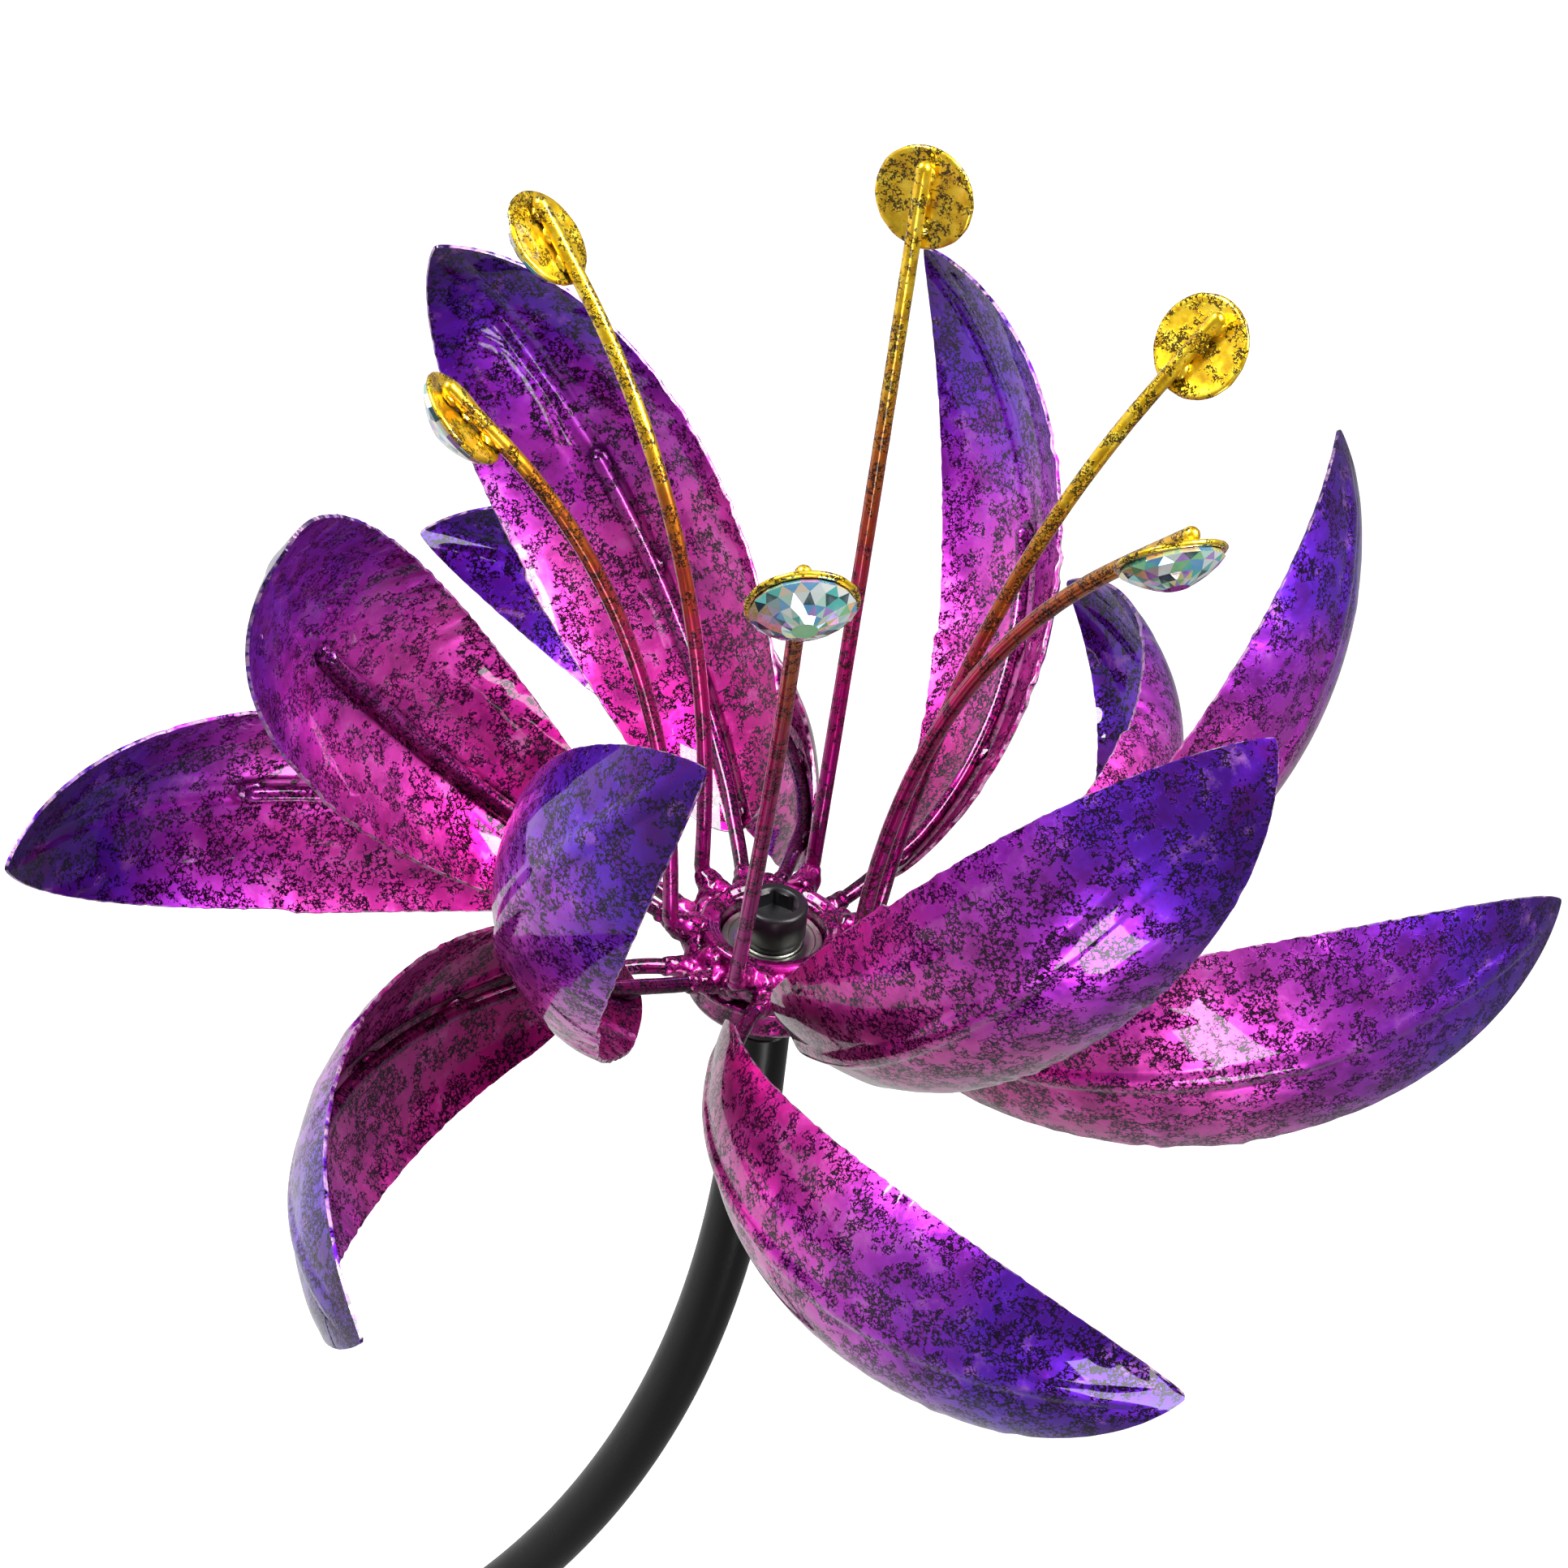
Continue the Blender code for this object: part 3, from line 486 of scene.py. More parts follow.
def add_turned(name, profile, material, slot, stands_for, body="flower", matrix=FLOWER, **turning):
    add_piece(name, turned_mesh(name, profile, **turning), material, stands_for, body, matrix)


def ringed_mesh(name, turn, rings, smooth_angle):
    """A mesh from rings round Z, each one a height and a radius or one radius per angle in turn."""
    points = np.array([[(radius * math.cos(a), radius * math.sin(a), height)
                        for radius, a in zip(np.broadcast_to(radii, turn.shape), turn)]
                       for radii, height in rings])
    return close_ends(grid_mesh(name, points, closed_across=True), smooth_angle)


CORNER_STEPS = 3


def soften(profile, size=0.0004):
    """Rounds the corners of a profile, leaving points on the axis alone."""
    made = []
    count = len(profile)
    for i, point in enumerate(profile):
        p = np.array(point, dtype=float)
        before = np.array(profile[i - 1], dtype=float)
        after = np.array(profile[(i + 1) % count], dtype=float)
        a, b = before - p, after - p
        la, lb = np.linalg.norm(a), np.linalg.norm(b)
        on_axis = point[0] == 0
        if on_axis or la == 0 or lb == 0 or abs(np.dot(a, b) / (la * lb)) > 0.995:
            made.append(tuple(p))
            continue
        cut = min(size, la * 0.45, lb * 0.45)
        start, end = p + a / la * cut, p + b / lb * cut
        for k in range(CORNER_STEPS + 1):
            t = k / CORNER_STEPS
            made.append(tuple(start * (1 - t) ** 2 + p * 2 * t * (1 - t) + end * t ** 2))
    return made


def point_at(origin, direction):
    """The matrix that stands a piece's Z axis on origin, pointing along direction."""
    return Matrix.Translation(origin) @ direction.to_track_quat("Z", "Y").to_matrix().to_4x4()


# %% Round wires
def smooth_path(points, fine):
    """A soft curve through the given points, with fine steps from each one to the next."""
    given = [np.array(p, dtype=float) for p in points]
    given = [given[0] * 2 - given[1], *given, given[-1] * 2 - given[-2]]
    made = []
    for p0, p1, p2, p3 in zip(given, given[1:], given[2:], given[3:]):
        for k in range(fine):
            t = k / fine
            made.append(0.5 * (2 * p1 + (p2 - p0) * t + (2 * p0 - 5 * p1 + 4 * p2 - p3) * t ** 2
                               + (3 * p1 - p0 - 3 * p2 + p3) * t ** 3))
    made.append(given[-2])
    return np.array(made)


def tube_points(path, radii, sides):
    """Rings of points round a path, carried along without twisting."""
    along = np.gradient(path, axis=0)
    along /= np.linalg.norm(along, axis=1)[:, None]
    side = np.cross(along[0], [0.3, 0.5, 0.81])
    rings = []
    for point, ahead, radius in zip(path, along, radii):
        side = side - ahead * np.dot(side, ahead)
        side /= np.linalg.norm(side)
        up = np.cross(ahead, side)
        turn = np.linspace(0, 2 * math.pi, sides, endpoint=False)
        rings.append(point + (np.outer(np.cos(turn), side) + np.outer(np.sin(turn), up)) * radius)
    return np.array(rings)


DOME_STEPS = 5


def wire_mesh(name, path, radius, wobble, sides=20):
    """A slightly uneven round wire with a domed end, with how far along it each point is."""
    length = np.concatenate([[0.0], np.cumsum(np.linalg.norm(np.diff(path, axis=0), axis=1))])
    radii = np.full(len(path), radius)
    radii = radii * (1 + wobble * np.array([noise.noise(Vector(p) * 160.0) for p in path]))
    ahead = (path[-1] - path[-2]) / np.linalg.norm(path[-1] - path[-2])
    dome_angles = np.linspace(0.2, math.pi / 2, DOME_STEPS)
    dome = [path[-1] + ahead * radius * math.sin(a) for a in dome_angles]
    dome_radii = [radius * max(math.cos(a), 0.02) for a in dome_angles]
    full = np.concatenate([path, dome])
    radii = np.concatenate([radii, dome_radii])
    reach = np.concatenate([length, length[-1] + radius * np.linspace(0.2, 1.0, DOME_STEPS)]) / length[-1]
    data = grid_mesh(name, tube_points(full, radii, sides), closed_across=True)
    store_number(data, "reach", np.repeat(reach, sides))
    return close_ends(data, 50.0)


print("tools for turned pieces, sheets and wires are ready")

# %% [markdown]
# ## The petals
# Each petal starts as the same pressed leaf: a narrow root, its widest point past the middle, and a point.
# The sheet is curled along its length, cupped across it, and then bent a little by hand, so that no two
# stand quite alike. A leaf's bends are its turn, lift, roll and sweep in degrees, and its curl and cup as
# shares of the common ones. A channel is pressed along its middle to take the rod, the edges ripple where
# the press stretched them, and one edge has a small step. All of it is geometry, so reflections break over
# it.

# %% The leaf's sizes
LEAF_LENGTH = 0.247
LEAF_HALF_WIDTH = 0.0357
LEAF_START = 0.164
LEAF_ROOT_ROUND = 0.10
LEAF_CURL = math.radians(123.0)
LEAF_CURL_CHANGE = math.radians(17.0)
LEAF_CUP_RADIUS = 0.0455
SHEET = 0.0010
UPPER_TIER = dict(out=0.0089, up=-0.0139, lift=62.0, roll=44.0, sweep=18.5, turn=295.0, rod_drop=0.0, seed=40)
LOWER_TIER = dict(out=0.0084, up=-0.0055, lift=25.0, roll=82.5, sweep=20.0, turn=293.0, rod_drop=0.0035,
                  seed=50)
UPPER_BENDS = ((2.3, 5.8, 0.9, 3.1, 0.88, 0.95), (0.1, 1.3, -1.3, -2.8, 0.98, 0.84),
               (-4.6, 4.9, 1.2, 3.4, 0.96, 0.86), (1.3, 3.0, 4.7, 2.2, 0.97, 1.12),
               (0.9, -8.1, 0.2, 3.1, 0.90, 1.22), (-2.3, -4.3, -2.6, -2.9, 0.93, 1.03))
LOWER_BENDS = ((2.7, 0.3, -3.0, 0.9, 1.06, 0.95), (2.8, 0.4, 3.7, 0.7, 1.01, 1.14),
               (0.0, -0.7, 5.9, 0.7, 1.06, 0.83), (-8.9, 6.6, -0.2, -4.3, 0.99, 1.37),
               (1.3, -1.2, -2.4, 1.4, 1.19, 0.59), (-0.4, -1.9, -3.0, 1.8, 1.06, 0.80))


# %% Where a leaf stands
def leaf_frame(tier, bends, number):
    """The flat leaf's origin and its length, width and face directions."""
    turn, lift, roll, sweep = (math.radians(angle) for angle in (
        tier["turn"] + 60.0 * number + bends[0], tier["lift"] + bends[1], tier["roll"] + bends[2],
        tier["sweep"] + bends[3]))
    outward = np.array((math.cos(turn), math.sin(turn), 0.0))
    sideways = np.array((-math.sin(turn), math.cos(turn), 0.0))
    up = np.array((0.0, 0.0, 1.0))
    length = outward * math.cos(lift) + up * math.sin(lift)
    face = up * math.cos(lift) - outward * math.sin(lift)
    face_rolled = face * math.cos(roll) + sideways * math.sin(roll)
    width_rolled = sideways * math.cos(roll) - face * math.sin(roll)
    length_swept = length * math.cos(sweep) + width_rolled * math.sin(sweep)
    width_swept = width_rolled * math.cos(sweep) - length * math.sin(sweep)
    return outward * tier["out"] + up * tier["up"], length_swept, width_swept, face_rolled


def midrib(curl):
    """The curled midrib: run, rise and slope at fractions of its length."""
    s = np.linspace(0.0, 1.0, 201)
    slope = (LEAF_CURL * (s - 0.5) + LEAF_CURL_CHANGE * (s - 0.5) ** 2) * curl
    step = LEAF_LENGTH / 200
    run = np.concatenate([[0.0], np.cumsum((np.cos(slope[1:]) + np.cos(slope[:-1])) / 2 * step)])
    rise = np.concatenate([[0.0], np.cumsum((np.sin(slope[1:]) + np.sin(slope[:-1])) / 2 * step)])
    return lambda f: (np.interp(f, s, run), np.interp(f, s, rise), np.interp(f, s, slope))


def half_width(f):
    root_power, tip_power = 1.22, 0.84
    peak = root_power / (root_power + tip_power)
    full = peak ** root_power * (1 - peak) ** tip_power
    width = LEAF_HALF_WIDTH * f ** root_power * np.maximum(1 - f, 0.0) ** tip_power / full
    short = np.maximum((LEAF_START + LEAF_ROOT_ROUND - f) / LEAF_ROOT_ROUND, 0.0)
    return width * np.sqrt(np.maximum(1 - short ** 2, 0.0))


def leaf_surface(place, rib, cup, f, across, lift_off):
    """Points of the cupped sheet: across in metres from the midrib, lift_off above the hollow face."""
    origin, length, width, face = place
    run, rise, slope = rib(f)
    angle = across / cup
    aside = (cup - lift_off) * np.sin(angle)
    dip = cup - (cup - lift_off) * np.cos(angle)
    along = run - np.sin(slope) * dip
    out = rise + np.cos(slope) * dip
    return (origin + along[..., None] * length + aside[..., None] * width + out[..., None] * face)


# %% [markdown]
# The small dents are sums too. Ripples run across the edge and grow towards it, but only along some
# stretches. Shallow hammer marks cover the whole sheet. The channel is a shallow trough with firm shoulders,
# deep where the rod lies in it and fading towards the tip, and on the other face it stands up as a rib.

# %% Dents of one leaf
CHANNEL_HALF_WIDTH = 0.0034
CHANNEL_DEPTH = 0.0014
HAMMER_MARKS = 38


def step_up(x, low, high):
    t = np.clip((x - low) / (high - low), 0.0, 1.0)
    return t * t * (3 - 2 * t)


def leaf_dents(f, share, across, rng):
    """How far each point is pushed towards the hollow face."""
    s = f * LEAF_LENGTH
    ripples = np.zeros_like(f)
    for edge in (-1.0, 1.0):
        phases = rng.uniform(0, 2 * math.pi, 3)
        lengths = rng.uniform((0.0062, 0.0090, 0.0140), (0.0080, 0.0120, 0.0180))
        slant = rng.uniform(0.0, 0.35)
        wave = sum(np.sin(2 * math.pi * (s + slant * across * edge) / length + phase) * size
                   for length, phase, size in zip(lengths, phases, (0.50, 0.42, 0.30)))
        centre, spread = rng.uniform(0.42, 0.68), rng.uniform(0.16, 0.26)
        stretch = np.exp(-((f - centre) / spread) ** 2)
        uneven = 0.55 + 0.45 * np.sin(2 * math.pi * s / rng.uniform(0.027, 0.045) + phases[0] * 3)
        towards_edge = step_up(share * edge, 0.52, 0.98)
        ripples += wave * stretch * uneven * towards_edge * rng.uniform(0.00045, 0.00070)
    marks = np.zeros_like(f)
    for _ in range(HAMMER_MARKS):
        at_f, at_share = rng.uniform(0.18, 0.95), rng.uniform(-0.98, 0.98)
        size = rng.uniform(0.005, 0.013)
        d2 = ((f - at_f) * LEAF_LENGTH) ** 2 + ((share - at_share) * half_width(at_f)) ** 2
        marks += rng.uniform(-0.00030, 0.00024) * np.exp(-d2 / (size * 0.6) ** 2)
    trough = np.clip(1 - (np.abs(across) / CHANNEL_HALF_WIDTH) ** 2, 0.0, 1.0) ** 0.8
    depth = CHANNEL_DEPTH * (1 - 0.45 * step_up(f, 0.62, 0.72)) * (1 - step_up(f, 0.90, 0.985))
    depth = depth * step_up(f, LEAF_START, LEAF_START + 0.05)
    return ripples + marks - trough * depth


# %% One petal
LEAF_ROWS, LEAF_HALF_COLUMNS = 150, 26
LEAF_END = 0.9985
STEP_SIZE, RAGGEDNESS = 0.035, 0.005      # shares of the leaf's width
RIM_WIDTH = 0.002


def petal_mesh(name, tier, bends, number, seed):
    rng = np.random.default_rng(seed)
    place, rib, cup = leaf_frame(tier, bends, number), midrib(bends[4]), LEAF_CUP_RADIUS * bends[5]
    eased = 0.5 - 0.5 * np.cos(np.pi * np.linspace(0.012, 1, LEAF_ROWS))
    f_rows = LEAF_START + (LEAF_END - LEAF_START) * eased
    even = np.linspace(-1, 1, 2 * LEAF_HALF_COLUMNS + 1)
    share_row = np.sign(even) * np.abs(even) ** 1.35
    f, share = np.meshgrid(f_rows, share_row, indexing="ij")
    notch_side, notch_at = rng.choice((-1.0, 1.0)), rng.uniform(0.50, 0.60)
    narrow = 1 - STEP_SIZE * step_up(f, notch_at - 0.002, notch_at + 0.006) * (share * notch_side > 0)
    width = half_width(f) * narrow
    wander = np.sin(f * 310 + seed) * np.sin(f * 47 + seed * 2.0) + 0.5 * np.sin(f * 128 - seed)
    ragged = 1 + RAGGEDNESS * wander * step_up(np.abs(share), 0.8, 1.0)
    across = share * width * ragged
    push = leaf_dents(f, share, across, rng)
    thin = SHEET / 2
    upper = leaf_surface(place, rib, cup, f, across, push + thin)
    lower = leaf_surface(place, rib, cup, f, across, push - thin)
    middle = leaf_surface(place, rib, cup, f, across * 1.004, push)
    ring = np.concatenate([upper[:, ::-1], middle[:, :1], lower, middle[:, -1:]], 1)
    data = grid_mesh(name, ring, closed_across=True)
    columns = ring.shape[1]
    store_number(data, "reach", np.repeat(f_rows, columns))
    rim = 1 - np.minimum((1 - np.abs(share)) * width, RIM_WIDTH) / RIM_WIDTH
    ones = np.ones((LEAF_ROWS, 1))
    store_number(data, "rim", np.concatenate([rim[:, ::-1], ones, rim, ones], 1).reshape(-1))
    return close_ends(data, 50.0, merge=2e-6)


# %% All twelve petals
LEAVES = [(label, tier, number, bends) for label, tier, all_bends in
          (("upper", UPPER_TIER, UPPER_BENDS), ("lower", LOWER_TIER, LOWER_BENDS))
          for number, bends in enumerate(all_bends)]
for label, tier, number, bends in LEAVES:
    node = f"{label}_petal_{number + 1}"
    data = petal_mesh(node + "_leaf", tier, bends, number, tier["seed"] + number)
    add_piece(node + "_leaf", data, CANDY_PETAL, [node])
    print(node, len(data.vertices), "points")

# %% [markdown]
# ## The rods
# A rod lies in each petal's channel from the hub to past the middle of the leaf, and four tack welds hold
# it. The lower rods dip near the hub to pass under the feet of the stamens. Small weld beads are lumps of
# metal that wet both parts, so each is a flattened ball pushed about by noise.

# %% Lumps of weld
def lump(bm, centre, radii, turn, rough, seed):
    """A ball with the given radii along the directions of turn, made uneven by rough."""
    made = bmesh.ops.create_icosphere(bm, subdivisions=2, radius=1.0)["verts"]
    for vert in made:
        swell = 1 + rough * noise.noise(vert.co * 2.3 + Vector((seed, seed * 1.7, 0)))
        shaped = Vector((vert.co.x * radii[0], vert.co.y * radii[1], vert.co.z * radii[2])) * swell
        vert.co = Vector(centre) + turn @ shaped
    return made


def add_lumps(data, lumps):
    """Adds lumps of weld to a wire. Each is a reach, then what lump asks for."""
    bm = bmesh.new()
    bm.from_mesh(data)
    for reach, *shape in lumps:
        made = lump(bm, *shape)
        layer = bm.verts.layers.float["reach"]
        for vert in made:
            vert[layer] = reach
    bm.to_mesh(data)
    bm.free()
    finish_mesh(data, 50.0)


# %% Rods with their tack welds
ROD_RADIUS = 0.00215
ROD_END = 0.64
ROD_GAP = 0.0009
ROD_HUB_RADIUS = 0.0205
ROD_DROP_FROM, ROD_DROP_TO = 0.044, 0.0228
TACKS = (0.19, 0.36, 0.50, 0.635)
TACK_RADII = (0.0042, 0.0030, 0.0014)
TACK_DEPTH = 0.0016


def rod_path(tier, bends, number):
    """A rod's points from the weld mass outwards, how far along the leaf each is, and the face's way."""
    place, rib, cup = leaf_frame(tier, bends, number), midrib(bends[4]), LEAF_CUP_RADIUS * bends[5]
    f = np.linspace(0.0, ROD_END, 161)
    sunk = CHANNEL_DEPTH * 0.62 * step_up(f, LEAF_START, LEAF_START + 0.06)
    path = leaf_surface(place, rib, cup, f, np.zeros_like(f), SHEET / 2 + ROD_RADIUS + ROD_GAP - sunk)
    reach = np.hypot(path[:, 0], path[:, 1])
    start = max(i for i, r in enumerate(reach) if r < ROD_HUB_RADIUS)
    fade = np.clip((ROD_DROP_FROM - reach) / (ROD_DROP_FROM - ROD_DROP_TO), 0.0, 1.0)
    path[:, 2] -= tier["rod_drop"] * fade ** 2
    return path[start:], f[start:], place[3]


def tack_weld(path, f_path, face, tack, seed):
    """A lump under the rod, where it has come the given way along the leaf."""
    i = int(np.argmin(np.abs(f_path - tack)))
    i = min(max(i, 1), len(path) - 2)
    ahead = Vector(path[i + 1] - path[i - 1]).normalized()
    out_of_sheet = (Vector(face) - ahead * Vector(face).dot(ahead)).normalized()
    turn = Matrix((ahead, out_of_sheet.cross(ahead), out_of_sheet)).transposed()
    return tack, Vector(path[i]) - out_of_sheet * TACK_DEPTH, TACK_RADII, turn, 0.25, seed


for label, tier, number, bends in LEAVES:
    node = f"{label}_petal_rod_{number + 1}"
    path, f_path, face = rod_path(tier, bends, number)
    data = wire_mesh(node + "_bar", path[::2], ROD_RADIUS, wobble=0.03)
    rescale_number(data, "reach", f_path[0], ROD_END - f_path[0])
    add_lumps(data, [tack_weld(path, f_path, face, tack, number * 3.1 + tack * 9) for tack in TACKS])
    add_piece(node + "_bar", data, CANDY_ROD, [node])
print("rods lie in their channels")

# %% [markdown]
# ## The stamens
# A stamen is a bent wire that steps off the hub, turns up round an elbow, and leans further out as it
# rises. A round plate with a rolled rim is brazed to its last two centimetres, and a flat-backed jewel is
# glued on the outer side of the plate. A stamen's settings are its bearing round the hub, its lean sideways,
# its bend and length as shares of the common ones, its lean outwards, and the twist of its plate.

# %% The stamens' sizes
WIRE_RADIUS = 0.00215
WIRE_FOOT_RADIUS = 0.0284
WIRE_LEG_START = 0.0205
WIRE_LEG_HEIGHT = -0.0018
WIRE_ELBOW = 0.005
WIRE_LENGTH = 0.192
WIRE_LEAN = math.radians(46.0)
WIRE_LEAN_POWER = 1.25
WIRE_STRAIGHT_END = 0.88
DISC_RADIUS = 0.0140
DISC_THICKNESS = 0.0012
DISC_SETBACK = 0.0085
JEWEL_RADIUS = 0.0128
JEWEL_HEIGHT = 0.0066
GAP = 0.0003
BRAZES = ((0.002, 1.0), (0.0085, 0.9), (0.0165, 1.05))    # how far back along the wire, and size
STAMENS = ((250.8, -0.9, 1.17, 1.00, 3.4, 16.7), (183.7, 0.8, -0.05, 1.05, 9.4, -5.2),
           (126.3, 3.6, 0.67, 1.01, 8.3, 28.8), (302.8, -7.6, 1.03, 0.89, 2.6, -1.8),
           (5.2, 7.7, 0.21, 0.93, 14.0, 26.2), (73.9, -1.2, 1.02, 1.07, 4.4, -21.8))
GOLD_REACH = (1.10, 1.00, 1.04, 0.78, 0.72, 0.76)    # how far down each wire the gold was sprayed


# %% A stamen's path
ELBOW_STEPS, STEM_STEPS, STEPS_PER_POINT = 8, 96, 4


def stamen_path(bearing, sideways_lean, bend, length, outward_lean):
    """A wire's points from the hub to its tip, and the direction round the hub at its foot."""
    turn = math.radians(bearing)
    outward = Vector((math.cos(turn), math.sin(turn), 0.0))
    tangent = Vector((-math.sin(turn), math.cos(turn), 0.0))
    up = Vector((0.0, 0.0, 1.0))
    level = up * WIRE_LEG_HEIGHT
    points = [outward * WIRE_LEG_START + level]
    centre = outward * (WIRE_FOOT_RADIUS - WIRE_ELBOW) + level + up * WIRE_ELBOW
    for k in range(ELBOW_STEPS):
        angle = math.pi / 2 * k / ELBOW_STEPS
        points.append(centre + outward * WIRE_ELBOW * math.sin(angle) - up * WIRE_ELBOW * math.cos(angle))
    foot = outward * WIRE_FOOT_RADIUS + level + up * WIRE_ELBOW
    lean = math.radians(sideways_lean)
    step = WIRE_LENGTH * length / STEM_STEPS
    out = rise = 0.0
    for k in range(STEM_STEPS + 1):
        if k % STEPS_PER_POINT == 0:
            points.append(foot + outward * out + (up * math.cos(lean) + tangent * math.sin(lean)) * rise)
        f = min((k + 0.5) / STEM_STEPS, WIRE_STRAIGHT_END)
        angle = WIRE_LEAN * bend * f ** WIRE_LEAN_POWER + math.radians(outward_lean)
        out += math.sin(angle) * step
        rise += math.cos(angle) * step
    return points, tangent


# %% [markdown]
# The plate is stamped thin and its rim is rolled by hand, so the rim wanders. The jewel is cut as a real one
# is: a flat back, a girdle, four rings of three-cornered facets and a small table on top. Every facet is flat
# and keeps its own painted colour, a painted reflection that makes it flash.

# %% The plate
def plate_mesh(name, seed):
    r, t = DISC_RADIUS, DISC_THICKNESS
    back = [(0.0, -t / 2), (r * 0.5, -t / 2 + 0.00005), (r - 0.0018, -t / 2), (r - 0.0009, -t / 2 - 0.00022),
            (r - 0.0003, -t / 2), (r, -0.0002)]
    front = [(r, 0.0002), (r - 0.0004, t / 2), (r - 0.0010, t / 2 + 0.0002), (r - 0.0018, t / 2),
             (r * 0.5, t / 2 - 0.00005), (0.0, t / 2)]
    data = turned_mesh(name, back + front, steps=72, closed=False, smooth_angle=60.0)
    for vert in data.vertices:
        out = math.hypot(vert.co.x, vert.co.y)
        near_rim = max((out - r * 0.75) / (r * 0.25), 0.0)
        ragged = noise.noise(Vector((vert.co.x, vert.co.y, seed)) * 330.0)
        dent = noise.noise(Vector((vert.co.x, vert.co.y, seed + 7)) * 110.0)
        if out > 0:
            pull = 1 - near_rim * (0.012 + 0.014 * ragged)
            vert.co.x *= pull
            vert.co.y *= pull
        vert.co.z += dent * 0.00016 * min(out / r * 2, 1)
    return data


# %% The jewel
JEWEL_SIDES = 18
JEWEL_LEVELS = ((0.955, 0.0, 0.0), (1.0, 0.0011, 0.0), (0.86, 0.0026, 0.5), (0.64, 0.0044, 0.0),
                (0.43, 0.0057, 0.5), (0.25, JEWEL_HEIGHT, 0.0))    # share of radius, height, half turn
# Painted reflections: each facet gets one of these fixed colours in place of the flashes of light it would
# reflect.
PAINTED_FLASH_COLOURS = ((0.12, 0.62, 0.56), (0.86, 0.95, 0.95), (0.30, 0.72, 0.34), (0.55, 0.30, 0.80), (0.90, 0.84, 0.30),
         (0.96, 0.97, 0.95), (0.16, 0.46, 0.80), (0.60, 0.90, 0.76), (0.05, 0.12, 0.14), (0.94, 0.78, 0.60))


def jewel_mesh(name, seed):
    rng = np.random.default_rng(seed)
    bm = bmesh.new()
    rings = []
    for share, height, shift in JEWEL_LEVELS:
        out = JEWEL_RADIUS * share
        turn = [2 * math.pi * (k + shift) / JEWEL_SIDES for k in range(JEWEL_SIDES)]
        rings.append([bm.verts.new((out * math.cos(a), out * math.sin(a), height)) for a in turn])
    bm.faces.new(rings[0][::-1])
    bm.faces.new(rings[-1])
    for level, (low, high) in enumerate(zip(rings, rings[1:])):
        for k in range(JEWEL_SIDES):
            nxt = (k + 1) % JEWEL_SIDES
            if level == 0:
                bm.faces.new((low[k], low[nxt], high[nxt], high[k]))
            elif JEWEL_LEVELS[level + 1][2] == 0.5:
                bm.faces.new((low[k], low[nxt], high[k]))
                bm.faces.new((low[nxt], high[nxt], high[k]))
            else:
                bm.faces.new((low[k], high[nxt], high[k]))
                bm.faces.new((low[k], low[nxt], high[nxt]))
    bmesh.ops.recalc_face_normals(bm, faces=bm.faces)
    data = bpy.data.meshes.new(name)
    bm.to_mesh(data)
    bm.free()
    layer = data.attributes.new("tint", "FLOAT_COLOR", "CORNER")
    # Each facet stores one painted flash colour, a painted reflection.
    for polygon in data.polygons:
        tint = PAINTED_FLASH_COLOURS[int(rng.integers(len(PAINTED_FLASH_COLOURS)))]
        for corner in polygon.loop_indices:
            layer.data[corner].color = (*tint, 1.0)
    return data


# %% Six stamens
for number, (settings, gold_reach) in enumerate(zip(STAMENS, GOLD_REACH), start=1):
    points, tangent = stamen_path(*settings[:5])
    tip = points[-1]
    along = (tip - points[-2]).normalized()
    away = Matrix.Rotation(math.radians(settings[5]), 3, along) @ tangent.cross(along).normalized()
    turn = Matrix((along, away.cross(along), away)).transposed()

    stem = f"stamen_wire_{number}_stem"
    data = wire_mesh(stem, smooth_path(points, 3), WIRE_RADIUS, wobble=0.025, sides=22)
    rescale_number(data, "reach", 0.0, gold_reach)
    add_lumps(data, [(1.0, tip - along * back + away * (WIRE_RADIUS * 0.75),
                      (0.0030 * size, 0.0029 * size, 0.0012), turn, 0.3, number * 2.7 + back * 400)
                     for back, size in BRAZES])
    add_piece(stem, data, GOLD_WIRE, [f"stamen_wire_{number}"])

    plate = f"stamen_disc_{number}_plate"
    disc_centre = tip - along * DISC_SETBACK + away * (WIRE_RADIUS + DISC_THICKNESS / 2 + GAP)
    add_piece(plate, plate_mesh(plate, number * 1.3), GOLD_PLATE, [f"stamen_disc_{number}"],
              matrix=FLOWER @ point_at(disc_centre, away))

    stone = f"stamen_jewel_{number}_stone"
    jewel_base = disc_centre + away * (DISC_THICKNESS / 2 + GAP)
    add_piece(stone, jewel_mesh(stone, 70 + number), CUT_JEWEL, [f"stamen_jewel_{number}"],
              matrix=FLOWER @ point_at(jewel_base, away))
print("six stamens stand")

# %% [markdown]
# ## The hub
# The hub is a turned ring with a rounded lip, over a slightly wider drum. Round its shoulder runs one lumpy
# mass of weld that swallows the ends of all twelve rods and the six feet. A voxel remesh joins a heap of
# rough lumps into one skin, as molten metal would, and a little noise then makes it glitter.

